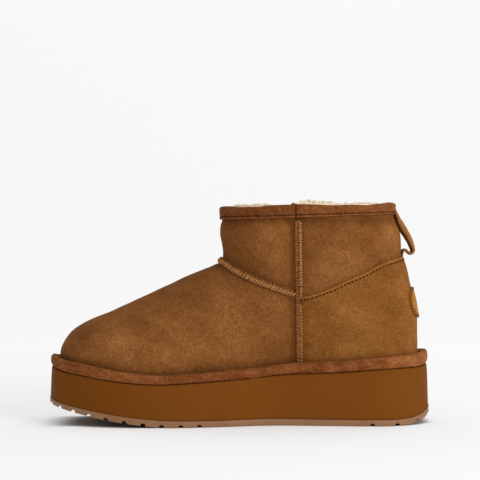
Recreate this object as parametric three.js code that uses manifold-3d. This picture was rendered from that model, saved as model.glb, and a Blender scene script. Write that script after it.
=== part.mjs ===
// A low sheepskin boot on a platform sole: gum outsole, foam midsole, rolled piping, hollow upper.
// Millimetres, +Z up. The toe points to -X, the inner side of this right boot faces -Y.
import * as THREE from 'three';
import Module from 'manifold-3d';

const wasm = await Module();
wasm.setup();

// Driving sizes of the sole
const soleLength = 265;
const ballWidth = 100;
const waistWidth = 76;
const heelWidth = 80;
const toeRoundLength = 84;
const heelRoundLength = 44;
const outlinePower = 2.3;
const gumThickness = 4.4;
const toeSpring = 13.5;
const heelBevel = 7.6;
const waistRise = 0.4;
const ballHeight = 28.7;
const toeLift = 10.3;
const heelLift = 12.3;
const midsoleFootInset = 0.4;
const midsoleTopInset = 1.5;

// Lugs round the outsole's rim, and the grooves between them
const grooveWidth = 3.2;
const lugHeight = 1.8;
const lugLength = 15;
const toeGroovePitch = 12.7;
const toeGroovesPerSide = 10;
const heelGroovePitch = 17.4;
const heelGroovesPerSide = 4;
const heelGrooveStart = 0.76;

// Piping and insole
const pipingHeight = 7;
const pipingInset = 0.3;
const pipingClearance = 0.5;
const insoleThickness = 4;
const insoleClearance = 1.5;

// Driving sizes of the upper
const upperInset = 7;
const wall = 2.6;
const instepHeight = 109.8;
const collarFrontHeight = 147.9;
const collarBackHeight = 150.1;
const heelLean = 17.7;
const shaftWidth = 75;
const shaftRoundLength = 50;
const sideSwell = 2.2;
const swellHeight = 46;

// Overlays, seams, binding, loop and badge
const counterThickness = 1.2;
const seamWidth = 5;
const seamHeight = 2;
const sideSeamAt = 0.651;
const sideSeamSlant = 1.6;
const bindingThickness = 1.3;
const bindingDrop = 8.4;
const bindingTuck = 6;
const loopWidth = 14;
const loopThickness = 2.2;
const loopDrop = 26.5;
const loopStand = 8.6;
const badgeDiameter = 22;
const badgeThickness = 1;
const badgeHeight = 82.8;

// Clearance between pieces that touch on the real boot
const gap = 0.3;

// Sole plan: width as shares of three named widths, shift of the middle line in shares of the ball width
const planRows = [
  { at: 0.00, ball: 0.86, waist: 0.00, heel: 0.00, shift: -0.060 },
  { at: 0.12, ball: 0.93, waist: 0.00, heel: 0.00, shift: -0.048 },
  { at: 0.24, ball: 0.985, waist: 0.00, heel: 0.00, shift: -0.022 },
  { at: 0.34, ball: 1.00, waist: 0.00, heel: 0.00, shift: 0.000 },
  { at: 0.46, ball: 0.55, waist: 0.47, heel: 0.00, shift: 0.020 },
  { at: 0.60, ball: 0.00, waist: 1.00, heel: 0.00, shift: 0.030 },
  { at: 0.74, ball: 0.00, waist: 0.45, heel: 0.55, shift: 0.016 },
  { at: 0.88, ball: 0.00, waist: 0.00, heel: 1.00, shift: 0.000 },
  { at: 1.00, ball: 0.00, waist: 0.00, heel: 0.97, shift: 0.000 },
];

// Underside of the sole: shares of toe spring, waist rise and heel bevel
const groundRows = [
  { at: 0.000, spring: 1.00, waist: 0, bevel: 0.00 },
  { at: 0.020, spring: 0.83, waist: 0, bevel: 0.00 },
  { at: 0.060, spring: 0.64, waist: 0, bevel: 0.00 },
  { at: 0.100, spring: 0.50, waist: 0, bevel: 0.00 },
  { at: 0.150, spring: 0.34, waist: 0, bevel: 0.00 },
  { at: 0.200, spring: 0.20, waist: 0, bevel: 0.00 },
  { at: 0.260, spring: 0.08, waist: 0, bevel: 0.00 },
  { at: 0.330, spring: 0.00, waist: 0, bevel: 0.00 },
  { at: 0.430, spring: 0.00, waist: 0, bevel: 0.00 },
  { at: 0.580, spring: 0.00, waist: 1, bevel: 0.00 },
  { at: 0.740, spring: 0.00, waist: 0, bevel: 0.00 },
  { at: 0.900, spring: 0.00, waist: 0, bevel: 0.00 },
  { at: 0.935, spring: 0.00, waist: 0, bevel: 0.07 },
  { at: 0.965, spring: 0.00, waist: 0, bevel: 0.29 },
  { at: 0.985, spring: 0.00, waist: 0, bevel: 0.60 },
  { at: 1.000, spring: 0.00, waist: 0, bevel: 1.00 },
];

// Top of the platform: shares of the rise to the toe and of the rise to the heel
const deckRows = [
  { at: 0.00, toe: 1.00, heel: 0.00 },
  { at: 0.03, toe: 0.66, heel: 0.00 },
  { at: 0.10, toe: 0.34, heel: 0.00 },
  { at: 0.17, toe: 0.13, heel: 0.00 },
  { at: 0.30, toe: 0.00, heel: 0.00 },
  { at: 0.39, toe: 0.00, heel: 0.08 },
  { at: 0.52, toe: 0.00, heel: 0.28 },
  { at: 0.63, toe: 0.00, heel: 0.48 },
  { at: 0.76, toe: 0.00, heel: 0.60 },
  { at: 0.88, toe: 0.00, heel: 0.80 },
  { at: 0.97, toe: 0.00, heel: 0.87 },
  { at: 1.00, toe: 0.00, heel: 1.00 },
];

// Back of the upper from platform (up 0) to collar (up 1): how far it leans in, in shares of heelLean
const backRows = [
  { up: 0.000, lean: 0.000 },
  { up: 0.108, lean: 0.113 },
  { up: 0.265, lean: 0.130 },
  { up: 0.366, lean: 0.210 },
  { up: 0.449, lean: 0.322 },
  { up: 0.587, lean: 0.520 },
  { up: 0.707, lean: 0.690 },
  { up: 0.762, lean: 0.700 },
  { up: 0.817, lean: 0.725 },
  { up: 0.891, lean: 0.853 },
  { up: 0.947, lean: 0.966 },
  { up: 1.000, lean: 1.000 },
];

// Sections of the upper, toe to collar. Each is a plane across the boot, from its lower end (at: share of
// the upper's length, or up: share of the back's height) to its top end (topAt, and its height in shares of
// the instep height and of the shaft above it). crown is the share over which the section rounds shut.
const sectionRows = [
  { at: 0.000, up: 0.00, topAt: 0.0000, instep: 0.110, shaft: 0.00, crown: 0.80, power: 2.3, steps: 2 },
  { at: 0.008, up: 0.00, topAt: 0.0080, instep: 0.220, shaft: 0.00, crown: 0.82, power: 2.3, steps: 2 },
  { at: 0.031, up: 0.00, topAt: 0.0307, instep: 0.364, shaft: 0.00, crown: 0.85, power: 2.3, steps: 2 },
  { at: 0.062, up: 0.00, topAt: 0.0618, instep: 0.452, shaft: 0.00, crown: 0.88, power: 2.2, steps: 2 },
  { at: 0.106, up: 0.00, topAt: 0.1064, instep: 0.534, shaft: 0.00, crown: 0.90, power: 2.2, steps: 2 },
  { at: 0.162, up: 0.00, topAt: 0.1622, instep: 0.613, shaft: 0.00, crown: 0.92, power: 2.1, steps: 2 },
  { at: 0.262, up: 0.00, topAt: 0.2610, instep: 0.757, shaft: 0.00, crown: 0.95, power: 2.0, steps: 2 },
  { at: 0.360, up: 0.00, topAt: 0.3566, instep: 0.893, shaft: 0.00, crown: 0.95, power: 1.9, steps: 2 },
  { at: 0.440, up: 0.00, topAt: 0.4124, instep: 0.965, shaft: 0.00, crown: 0.90, power: 1.9, steps: 2 },
  { at: 0.560, up: 0.00, topAt: 0.4390, instep: 1.000, shaft: 0.03, crown: 0.75, power: 1.9, steps: 2 },
  { at: 0.690, up: 0.00, topAt: 0.4515, instep: 1.000, shaft: 0.13, crown: 0.58, power: 2.0, steps: 2 },
  { at: 0.810, up: 0.00, topAt: 0.4550, instep: 1.000, shaft: 0.24, crown: 0.46, power: 2.0, steps: 2 },
  { at: 0.910, up: 0.00, topAt: 0.4530, instep: 1.000, shaft: 0.35, crown: 0.40, power: 2.0, steps: 2 },
  { at: 0.975, up: 0.00, topAt: 0.4508, instep: 1.000, shaft: 0.42, crown: 0.38, power: 2.0, steps: 3 },
  { at: 1.000, up: 0.00, topAt: 0.4490, instep: 1.000, shaft: 0.47, crown: 0.37, power: 2.0, steps: 2 },
  { at: 1.000, up: 0.22, topAt: 0.4472, instep: 1.000, shaft: 0.56, crown: 0.37, power: 2.0, steps: 2 },
  { at: 1.000, up: 0.45, topAt: 0.4470, instep: 1.000, shaft: 0.65, crown: 0.39, power: 2.0, steps: 2 },
  { at: 1.000, up: 0.69, topAt: 0.4472, instep: 1.000, shaft: 0.725, crown: 0.41, power: 2.0, steps: 2 },
  { at: 1.000, up: 0.92, topAt: 0.4495, instep: 1.000, shaft: 0.78, crown: 0.42, power: 2.0, steps: 1 },
  { at: 1.000, up: 1.00, topAt: 0.4530, instep: 1.000, shaft: 1.00, crown: 0.42, power: 2.0, steps: 0 },
];
const ringPoints = 28;

// Upper edge of the heel counter, side seam to heel: shares of the sole length and of the collar height
const counterEdgeRows = [
  { at: 0.655, height: 0.578 },
  { at: 0.700, height: 0.598 },
  { at: 0.740, height: 0.625 },
  { at: 0.780, height: 0.659 },
  { at: 0.825, height: 0.693 },
  { at: 0.867, height: 0.731 },
  { at: 0.930, height: 0.766 },
];

// Instep seam, front of the ankle down to the side seam: shares of the sole length and the collar height
const instepSeamRows = [
  { at: 0.425, height: 0.790 },
  { at: 0.445, height: 0.766 },
  { at: 0.461, height: 0.750 },
  { at: 0.495, height: 0.709 },
  { at: 0.528, height: 0.682 },
  { at: 0.560, height: 0.657 },
  { at: 0.593, height: 0.636 },
  { at: 0.639, height: 0.607 },
];

// Pull loop from the binding down to its tuck: shares of loopDrop and of loopStand
const loopRows = [
  { down: 0.00, out: 0.190 },
  { down: 0.14, out: 0.250 },
  { down: 0.34, out: 0.420 },
  { down: 0.56, out: 0.720 },
  { down: 0.75, out: 1.000 },
  { down: 0.86, out: 0.970 },
  { down: 0.92, out: 0.730 },
  { down: 0.88, out: 0.480 },
  { down: 0.85, out: 0.270 },
  { down: 0.83, out: 0.090 },
];

/** A smooth curve through one column of a table. It never overshoots, so a flat stretch stays flat. */
function column(rows, key, name) {
  const xs = rows.map((row) => row[key]);
  const ys = rows.map((row) => row[name]);
  const last = xs.length - 1;
  const slope = xs.slice(1).map((x, i) => (ys[i + 1] - ys[i]) / (x - xs[i]));
  const tangent = ys.map((_, i) => {
    if (i === 0) return slope[0];
    if (i === last) return slope[last - 1];
    if (slope[i - 1] * slope[i] <= 0) return 0;
    const before = xs[i] - xs[i - 1];
    const after = xs[i + 1] - xs[i];
    return 3 * (before + after) / ((2 * after + before) / slope[i - 1] + (after + 2 * before) / slope[i]);
  });
  return (x) => {
    let i = 0;
    while (i < last - 1 && x > xs[i + 1]) i += 1;
    const span = xs[i + 1] - xs[i];
    const t = Math.min(1, Math.max(0, (x - xs[i]) / span));
    const pull = span * (tangent[i] * t * (1 - t) * (1 - t) - tangent[i + 1] * t * t * (1 - t));
    return ys[i] + (ys[i + 1] - ys[i]) * t * t * (3 - 2 * t) + pull;
  };
}

const columns = (rows, key, names) => {
  const pairs = names.map((name) => [name, column(rows, key, name)]);
  return Object.fromEntries(pairs);
};
const plan = columns(planRows, 'at', ['ball', 'waist', 'heel', 'shift']);
const ground = columns(groundRows, 'at', ['spring', 'waist', 'bevel']);
const deckShares = columns(deckRows, 'at', ['toe', 'heel']);
const backLean = column(backRows, 'up', 'lean');

const mix = (a, b, t) => a + (b - a) * t;
const clamp01 = (t) => Math.min(1, Math.max(0, t));
const ease = (t) => clamp01(t) ** 2 * (3 - 2 * clamp01(t));

/** 0 at an edge, rising to 1 over a length, as the quarter of a rounded square of the given power. */
function roundOff(distance, length, power) {
  return (1 - (1 - clamp01(distance / length)) ** power) ** (1 / power);
}

/** Half the sole's width at x before its ends are rounded off. */
function halfWidth(x) {
  const at = x / soleLength;
  return (ballWidth * plan.ball(at) + waistWidth * plan.waist(at) + heelWidth * plan.heel(at)) / 2;
}

const middleLine = (x) => ballWidth * plan.shift(x / soleLength);
const toeRounding = (x, inset) => roundOff(x - inset, toeRoundLength - inset, outlinePower);

/** The sole's outline at x, moved inwards by inset: its inner and outer edge. */
function footprint(x, inset) {
  const heel = roundOff(soleLength - inset - x, heelRoundLength - inset, outlinePower);
  const reach = (halfWidth(x) - inset) * toeRounding(x, inset) * heel;
  return { inner: middleLine(x) - reach, outer: middleLine(x) + reach };
}

/** Height of the sole's underside at x. */
function groundHeight(x) {
  const at = x / soleLength;
  return toeSpring * ground.spring(at) + waistRise * ground.waist(at) + heelBevel * ground.bevel(at);
}

/** Height of the platform's top at x. */
function deckHeight(x) {
  const at = x / soleLength;
  return ballHeight + toeLift * deckShares.toe(at) + heelLift * deckShares.heel(at);
}

/** Shares from 0 to 1 that lie closer together at both ends, where an outline turns fastest. */
const endShare = (k, count) => (1 - Math.cos(Math.PI * k / count)) / 2;
const endShares = (count) => Array.from({ length: count + 1 }, (_, k) => endShare(k, count));

/** Joins triangles given by their corners into one indexed geometry with its faces pointing out. */
function weld(triangles) {
  const places = new Map();
  const positions = [];
  const index = [];
  const numberOf = (point) => {
    const key = point.toArray().map((value) => Math.round(value * 1e3)).join();
    if (!places.has(key)) {
      places.set(key, positions.length / 3);
      positions.push(...point.toArray());
    }
    return places.get(key);
  };
  let volume = 0;
  for (const corners of triangles) {
    const [a, b, c] = corners.map(numberOf);
    if (a === b || b === c || c === a) continue;
    index.push(a, b, c);
    volume += corners[0].dot(corners[1].clone().cross(corners[2]));
  }
  if (volume < 0) index.reverse();
  const geometry = new THREE.BufferGeometry();
  geometry.setAttribute('position', new THREE.Float32BufferAttribute(positions, 3));
  geometry.setIndex(index);
  return geometry;
}

/** The triangles of a four-sided face. */
const quad = (a, b, c, d) => [[a, b, c], [a, c, d]];

/** Triangles between neighbouring rings of a list. Rings may run closed, and so may the list. */
function skin(rings, ringsClose, listCloses) {
  const faces = [];
  const count = rings[0].length;
  const rows = listCloses ? rings.length : rings.length - 1;
  const steps = ringsClose ? count : count - 1;
  for (let i = 0; i < rows; i += 1) {
    const here = rings[i];
    const next = rings[(i + 1) % rings.length];
    for (let j = 0; j < steps; j += 1) {
      const k = (j + 1) % count;
      faces.push(...quad(here[j], here[k], next[k], next[j]));
    }
  }
  return faces;
}

/** Geometry to solid, with only the positions. */
function solidOf(geometry) {
  const welded = geometry.index && !geometry.attributes.normal ? geometry : weld(trianglesOf(geometry));
  return new wasm.Manifold(new wasm.Mesh({
    numProp: 3,
    vertProperties: new Float32Array(welded.attributes.position.array),
    triVerts: new Uint32Array(welded.index.array),
  }));
}

/** Every triangle of a geometry as three corners. */
function trianglesOf(geometry) {
  const plain = geometry.index ? geometry.toNonIndexed() : geometry;
  const corner = (i) => new THREE.Vector3().fromBufferAttribute(plain.attributes.position, i);
  const count = plain.attributes.position.count / 3;
  return Array.from({ length: count }, (_, i) => [corner(3 * i), corner(3 * i + 1), corner(3 * i + 2)]);
}

/** Solid back to geometry. */
function geometryOf(solid) {
  const mesh = solid.getMesh();
  const geometry = new THREE.BufferGeometry();
  geometry.setAttribute('position', new THREE.Float32BufferAttribute(mesh.vertProperties, 3));
  geometry.setIndex(new THREE.Uint32BufferAttribute(mesh.triVerts, 1));
  return geometry;
}

/** A closed slab with the sole's outline. Each level, bottom to top, has its inset and its height at x. */
function slab(levels, stations) {
  const rings = endShares(stations).map((share) => {
    const edges = levels.map(({ inset, height }) => {
      const x = inset + share * (soleLength - 2 * inset);
      return { x, z: height(x), ...footprint(x, inset) };
    });
    const innerSide = edges.map((edge) => new THREE.Vector3(edge.x, edge.inner, edge.z));
    const outerSide = edges.map((edge) => new THREE.Vector3(edge.x, edge.outer, edge.z)).reverse();
    return [...innerSide, ...outerSide];
  });
  return weld(skin(rings, true, false));
}

/** Closed path round the sole's outline at an inset: toe, inner side, heel, outer side. */
function outlinePath(inset, stations) {
  const shares = endShares(stations);
  const spot = (share, side) => {
    const x = inset + share * (soleLength - 2 * inset);
    return { x, y: footprint(x, inset)[side] };
  };
  const inner = shares.map((share) => spot(share, 'inner'));
  const outer = shares.slice(1, -1).reverse().map((share) => spot(share, 'outer'));
  return [...inner, ...outer];
}

/** The point of one side's edge at an arc length from the toe or the heel, with its outward direction. */
function edgeSpot(arc, side, fromHeel) {
  const shares = endShares(240);
  if (fromHeel) shares.reverse();
  const places = shares.map((share) => share * soleLength);
  const points = places.map((x) => new THREE.Vector2(x, footprint(x, 0)[side]));
  let walked = 0;
  for (let i = 1; i < points.length; i += 1) {
    const step = points[i].distanceTo(points[i - 1]);
    if (walked + step >= arc) {
      const along = points[i].clone().sub(points[i - 1]).normalize();
      const place = points[i - 1].clone().addScaledVector(along, arc - walked);
      return { place, angle: Math.atan2(along.y, along.x) };
    }
    walked += step;
  }
  return null;
}

/** A block that cuts one groove between two lugs. */
function grooveBlock(arc, side, fromHeel) {
  const { place, angle } = edgeSpot(arc, side, fromHeel);
  const block = new THREE.BoxGeometry(grooveWidth, 2 * lugLength, 2 * ballHeight);
  block.rotateZ(angle);
  block.translate(place.x, place.y, 0);
  return solidOf(block);
}

/** Gum outsole: thin slab with grooves cut up into its rim, which leave lugs between them. */
function outsole() {
  const gum = (lift) => solidOf(slab([
    { inset: 0, height: (x) => groundHeight(x) + lift },
    { inset: 0, height: (x) => groundHeight(x) + gumThickness },
  ], 38));
  const arcs = (count, pitch, start) => Array.from({ length: count }, (_, k) => (k + start) * pitch);
  const blocks = [];
  for (const side of ['inner', 'outer']) {
    const toeArcs = arcs(toeGroovesPerSide, toeGroovePitch, 1);
    const heelArcs = arcs(heelGroovesPerSide, heelGroovePitch, heelGrooveStart);
    for (const arc of toeArcs) blocks.push(grooveBlock(arc, side, false));
    for (const arc of heelArcs) blocks.push(grooveBlock(arc, side, true));
  }
  blocks.push(grooveBlock(0, 'inner', false));
  blocks.push(grooveBlock(0, 'inner', true));
  const grooves = blocks.reduce((sum, block) => sum.add(block)).subtract(gum(lugHeight));
  return geometryOf(gum(0).subtract(grooves));
}

/** Foam platform between outsole and upper, flaring a little towards its foot. */
function midsole() {
  const foot = (x) => groundHeight(x) + gumThickness + gap;
  const between = (share) => (x) => mix(foot(x), deckHeight(x), share);
  return slab([
    { inset: midsoleFootInset, height: foot },
    { inset: mix(midsoleFootInset, midsoleTopInset, 0.25), height: between(0.45) },
    { inset: midsoleTopInset, height: between(0.9) },
    { inset: midsoleTopInset + 0.3, height: deckHeight },
  ], 38);
}

/** Rolled piping round the platform's rim, between the deck and the foot of the upper. */
function weltPiping() {
  const reach = (upperInset - pipingClearance - pipingInset) / 2;
  const middle = pipingInset + reach;
  const sides = 8;
  const rings = Array.from({ length: sides }, (_, s) => {
    const angle = 2 * Math.PI * (s + 0.5) / sides;
    const bulge = (value) => Math.sign(value) * Math.abs(value) ** 0.8;
    const inset = middle - reach * bulge(Math.cos(angle));
    const lift = gap + pipingHeight / 2 * (1 + bulge(Math.sin(angle)));
    return outlinePath(inset, 32).map(({ x, y }) => new THREE.Vector3(x, y, deckHeight(x) + lift));
  });
  return weld(skin(rings, true, true));
}

/** Footbed on the deck, inside the upper. */
function insole() {
  const inset = upperInset + wall + insoleClearance;
  return slab([
    { inset, height: (x) => deckHeight(x) + gap },
    { inset, height: (x) => deckHeight(x) + gap + insoleThickness },
  ], 30);
}

const upperLength = soleLength - 2 * upperInset;
const heelEnd = soleLength - upperInset;
const footEdge = (x) => deckHeight(x) + gap;
const pipingTop = (x) => deckHeight(x) + gap + pipingHeight + gap;
const backHeight = (up) => mix(footEdge(heelEnd), collarBackHeight, up);
const backAt = (z) => {
  const up = clamp01((z - footEdge(heelEnd)) / (collarBackHeight - footEdge(heelEnd)));
  return heelEnd - heelLean * backLean(up);
};

/** Half the upper's width at a place of its side view, before its sections round shut. */
function upperReach(x, z) {
  const lift = ease((z - pipingTop(x)) / (collarBackHeight - pipingTop(x)));
  const foot = halfWidth(x) - upperInset;
  const swell = sideSwell * Math.sin(Math.PI * clamp01((z - pipingTop(x)) / swellHeight)) ** 2;
  const toe = toeRounding(x, upperInset);
  const heelRound = mix(heelRoundLength - upperInset, shaftRoundLength, lift);
  const heel = roundOff(backAt(z) - x, heelRound, mix(outlinePower, 2, lift));
  return (mix(foot, shaftWidth / 2, lift) + swell) * toe * heel;
}

/** One section of the upper, from the inner edge of the foot over the top to the outer edge. */
function upperSection(row) {
  const lowX = row.up > 0 ? backAt(backHeight(row.up)) : upperInset + row.at * upperLength;
  const lowZ = row.up > 0 ? backHeight(row.up) : footEdge(lowX);
  const topX = upperInset + row.topAt * upperLength;
  const toInstep = mix(footEdge(lowX), instepHeight, row.instep);
  const topZ = toInstep + (collarFrontHeight - instepHeight) * row.shaft;
  const length = Math.hypot(topX - lowX, topZ - lowZ);
  const closed = ease((row.at - 0.75) / 0.25);
  return Array.from({ length: ringPoints + 1 }, (_, j) => {
    const share = 1 - Math.abs(1 - 2 * j / ringPoints);
    const side = j * 2 < ringPoints ? -1 : 1;
    const up = mix(Math.sin(Math.PI * share / 2), (1 - Math.cos(Math.PI * share)) / 2, closed);
    const x = mix(lowX, topX, up);
    const z = mix(lowZ, topZ, up);
    const reach = upperReach(x, z) * roundOff((1 - up) * length, row.crown * length, row.power);
    return new THREE.Vector3(x, middleLine(x) + side * reach, z);
  });
}

/** Table rows with in-between rows worked out, each table row split into its own number of steps. */
function sectionsBetween() {
  const names = ['at', 'up', 'topAt', 'instep', 'shaft', 'crown', 'power'];
  const numbered = sectionRows.map((row, number) => ({ ...row, number }));
  const smooth = columns(numbered, 'number', names);
  const rows = [];
  numbered.slice(0, -1).forEach(({ number, steps }) => {
    for (let k = 0; k < steps; k += 1) rows.push(number + k / steps);
  });
  rows.push(numbered.length - 1);
  return rows.map((number) => Object.fromEntries(names.map((name) => [name, smooth[name](number)])));
}

const upperRows = sectionsBetween();
const upperSkin = upperRows.map(upperSection);
const openRows = upperRows.filter((row) => row.up === 0).length;

/** Outward direction at every point of the upper's skin, level along its foot and at its collar. */
function skinDirections() {
  const key = (point) => point.toArray().map((value) => Math.round(value * 1e3)).join();
  const sums = new Map(upperSkin.flat().map((point) => [key(point), new THREE.Vector3()]));
  for (const [a, b, c] of skin(upperSkin, false, false)) {
    const normal = c.clone().sub(a).cross(b.clone().sub(a));
    for (const corner of [a, b, c]) sums.get(key(corner)).add(normal);
  }
  return upperSkin.map((ring, i) => ring.map((point, j) => {
    const direction = sums.get(key(point)).clone();
    const onFoot = i < openRows && (j === 0 || j === ringPoints);
    if (onFoot || i === upperSkin.length - 1) direction.z = 0;
    return direction.normalize();
  }));
}

const directions = skinDirections();

/** The upper's skin moved outwards by a distance, or inwards if it is negative. */
function skinAt(distance) {
  const moved = (point, i, j) => point.clone().addScaledVector(directions[i][j], distance);
  return upperSkin.map((ring, i) => ring.map((point, j) => moved(point, i, j)));
}

/** The upper: one hollow wall, open at the collar and along the foot. */
function upper() {
  const outside = skinAt(0);
  const inside = skinAt(-wall);
  const faces = skin(outside, false, false);
  faces.push(...skin(inside, false, false).map(([a, b, c]) => [a, c, b]));
  for (let i = 0; i < openRows - 1; i += 1) {
    faces.push(...quad(outside[i][0], outside[i + 1][0], inside[i + 1][0], inside[i][0]));
    const m = ringPoints;
    faces.push(...quad(outside[i][m], inside[i][m], inside[i + 1][m], outside[i + 1][m]));
  }
  const top = upperSkin.length - 1;
  for (let j = 0; j < ringPoints; j += 1) {
    faces.push(...quad(outside[top][j], outside[top][j + 1], inside[top][j + 1], inside[top][j]));
  }
  return weld(faces);
}

/** The upper's form as a filled solid at a distance from its skin, for cutting overlays. */
function upperForm(distance) {
  const rings = skinAt(distance);
  const faces = skin(rings, false, false);
  for (let i = 0; i < openRows - 1; i += 1) {
    faces.push(...quad(rings[i][0], rings[i + 1][0], rings[i + 1][ringPoints], rings[i][ringPoints]));
  }
  const collar = rings[rings.length - 1];
  for (let j = 0; j < ringPoints / 2; j += 1) {
    faces.push(...quad(collar[j], collar[j + 1], collar[ringPoints - 1 - j], collar[ringPoints - j]));
  }
  return solidOf(weld(faces));
}

/** A prism through the boot with an outline drawn in its side view. */
function sidePrism(points, fromY, toY) {
  const depth = toY - fromY;
  const prism = new THREE.ExtrudeGeometry(new THREE.Shape(points), { depth, bevelEnabled: false });
  prism.rotateX(Math.PI / 2);
  prism.translate(0, toY, 0);
  return solidOf(prism);
}

/** Overlay: the part inside a cutter of the layer between two distances from the upper's skin. */
function overlay(cutter, from, thickness) {
  return geometryOf(upperForm(from + thickness).subtract(upperForm(from)).intersect(cutter));
}

const sideSeamX = (z) => soleLength * sideSeamAt + sideSeamSlant * (1 - z / collarBackHeight);
const seamFootHeight = pipingTop(soleLength * sideSeamAt);

/** Heel counter: lapped round the heel below a rising edge, from side seam to side seam. */
function heelCounter() {
  const start = seamWidth / 2 + gap;
  const edge = counterEdgeRows.map((row) => {
    return new THREE.Vector2(row.at * soleLength, row.height * collarBackHeight);
  });
  edge[0].x = sideSeamX(edge[0].y) + start;
  edge.push(new THREE.Vector2(soleLength + start, edge[edge.length - 1].y + gap));
  const foot = endShares(20).map((share) => {
    const x = mix(soleLength, sideSeamX(seamFootHeight) + start, share);
    return new THREE.Vector2(x, pipingTop(x));
  });
  return overlay(sidePrism([...edge, ...foot], -ballWidth, ballWidth), gap, counterThickness);
}

/** Raised side seam on one side, from the piping up to the binding. */
function sideSeam(side) {
  const topHeight = collarFrontHeight - bindingDrop - gap;
  const half = seamWidth / 2;
  const outline = [
    new THREE.Vector2(sideSeamX(seamFootHeight) - half, seamFootHeight + gap),
    new THREE.Vector2(sideSeamX(seamFootHeight) + half, seamFootHeight + gap),
    new THREE.Vector2(sideSeamX(topHeight) + half, topHeight),
    new THREE.Vector2(sideSeamX(topHeight) - half, topHeight),
  ];
  const [from, to] = side < 0 ? [-ballWidth, 0] : [0, ballWidth];
  return overlay(sidePrism(outline, from, to), gap, seamHeight);
}

/** Raised seam from side seam to side seam round the front of the ankle. */
function instepSeam() {
  const line = instepSeamRows.map((row) => {
    return new THREE.Vector2(row.at * soleLength, row.height * collarFrontHeight);
  });
  const above = [];
  const below = [];
  line.forEach((point, i) => {
    const before = line[Math.max(0, i - 1)];
    const after = line[Math.min(line.length - 1, i + 1)];
    const across = after.clone().sub(before).normalize().rotateAround(new THREE.Vector2(), Math.PI / 2);
    above.push(point.clone().addScaledVector(across, seamWidth / 2));
    below.push(point.clone().addScaledVector(across, -seamWidth / 2));
  });
  const limit = sideSeamX(line[line.length - 1].y) - seamWidth / 2 - gap;
  for (const edge of [above, below]) edge[edge.length - 1].x = limit;
  return overlay(sidePrism([...above, ...below.reverse()], -ballWidth, ballWidth), gap, seamHeight);
}

/** Binding folded over the collar: a channel with an outer leg, a top and an inner leg. */
function collarBinding() {
  const top = upperSkin.length - 1;
  const within = gap + wall;
  const profile = [
    { out: gap + bindingThickness, up: -bindingDrop },
    { out: gap + bindingThickness, up: gap },
    { out: gap, up: gap + bindingThickness },
    { out: -within, up: gap + bindingThickness },
    { out: -within - bindingThickness, up: gap },
    { out: -within - bindingThickness, up: -bindingTuck },
    { out: -within, up: -bindingTuck },
    { out: -within, up: gap },
    { out: gap, up: gap },
    { out: gap, up: -bindingDrop },
  ];
  const spot = (j, { out, up }) => {
    const collar = upperSkin[top][j];
    const below = upperSkin[top - 1][j];
    const slope = collar.clone().sub(below).divideScalar(collar.z - below.z);
    return collar.clone().addScaledVector(slope, up).addScaledVector(directions[top][j], out);
  };
  const rings = profile.map((corner) => Array.from({ length: ringPoints }, (_, j) => spot(j, corner)));
  return weld(skin(rings, true, true));
}

/** Pull loop: a doubled strip that stands off the back and tucks in again above the counter. */
function pullLoop() {
  const start = collarBackHeight - bindingDrop - gap - loopThickness / 4;
  const route = loopRows.map(({ down, out }) => {
    const z = start - down * loopDrop;
    return new THREE.Vector3(backAt(z) + out * loopStand, 0, z);
  });
  const samples = new THREE.CatmullRomCurve3(route, false, 'centripetal').getPoints(30);
  const outline = (side) => samples.map((point, i) => {
    const before = samples[Math.max(0, i - 1)];
    const after = samples[Math.min(samples.length - 1, i + 1)];
    const across = new THREE.Vector2(before.z - after.z, after.x - before.x).normalize();
    return new THREE.Vector2(point.x, point.z).addScaledVector(across, side * loopThickness / 2);
  });
  const strip = new THREE.Shape([...outline(1), ...outline(-1).reverse()]);
  const loop = new THREE.ExtrudeGeometry(strip, { depth: loopWidth, bevelEnabled: false });
  loop.rotateX(Math.PI / 2);
  loop.translate(0, loopWidth / 2, 0);
  return weld(trianglesOf(loop));
}

/** Round patch on the middle of the heel counter. */
function heelBadge() {
  const punch = new THREE.CylinderGeometry(badgeDiameter / 2, badgeDiameter / 2, soleLength / 2, 32);
  punch.rotateZ(Math.PI / 2);
  punch.translate(soleLength, 0, badgeHeight);
  return overlay(solidOf(punch), 2 * gap + counterThickness, badgeThickness);
}

const finishes = {
  gum: { color: 0xa8794f, roughness: 0.6, metalness: 0 },
  foam: { color: 0x74451a, roughness: 0.7, metalness: 0 },
  suede: { color: 0x80522a, roughness: 0.95, metalness: 0 },
  binding: { color: 0x704022, roughness: 0.9, metalness: 0 },
  fleece: { color: 0xe6dcc4, roughness: 1, metalness: 0 },
  badge: { color: 0xa56c2d, roughness: 0.8, metalness: 0 },
};

const pieces = [
  ['outsole', outsole(), 'gum'],
  ['midsole', midsole(), 'foam'],
  ['welt_piping', weltPiping(), 'suede'],
  ['insole', insole(), 'fleece'],
  ['upper', upper(), 'suede'],
  ['heel_counter', heelCounter(), 'suede'],
  ['side_seam_medial', sideSeam(-1), 'suede'],
  ['side_seam_lateral', sideSeam(1), 'suede'],
  ['instep_seam', instepSeam(), 'suede'],
  ['collar_binding', collarBinding(), 'binding'],
  ['pull_loop', pullLoop(), 'binding'],
  ['heel_badge', heelBadge(), 'badge'],
];

// The boot stands on Z = 0 with the middle of its box over the origin
const group = new THREE.Group();
for (const [name, geometry, finish] of pieces) {
  const mesh = new THREE.Mesh(geometry, new THREE.MeshStandardMaterial(finishes[finish]));
  mesh.name = name;
  group.add(mesh);
}
const box = new THREE.Box3().setFromObject(group);
const middle = box.getCenter(new THREE.Vector3());
group.position.set(-middle.x, -middle.y, -box.min.z);
group.updateMatrixWorld(true);

export default group;
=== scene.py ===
# %% [markdown]
# A low sheepskin boot on a platform sole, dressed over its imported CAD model.
# The model is the fixed frame: every surface below is worked out from the same named sizes, so it
# lies where the solids lie. Lengths are in millimetres until a mesh is made, and metres from there.

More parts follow.
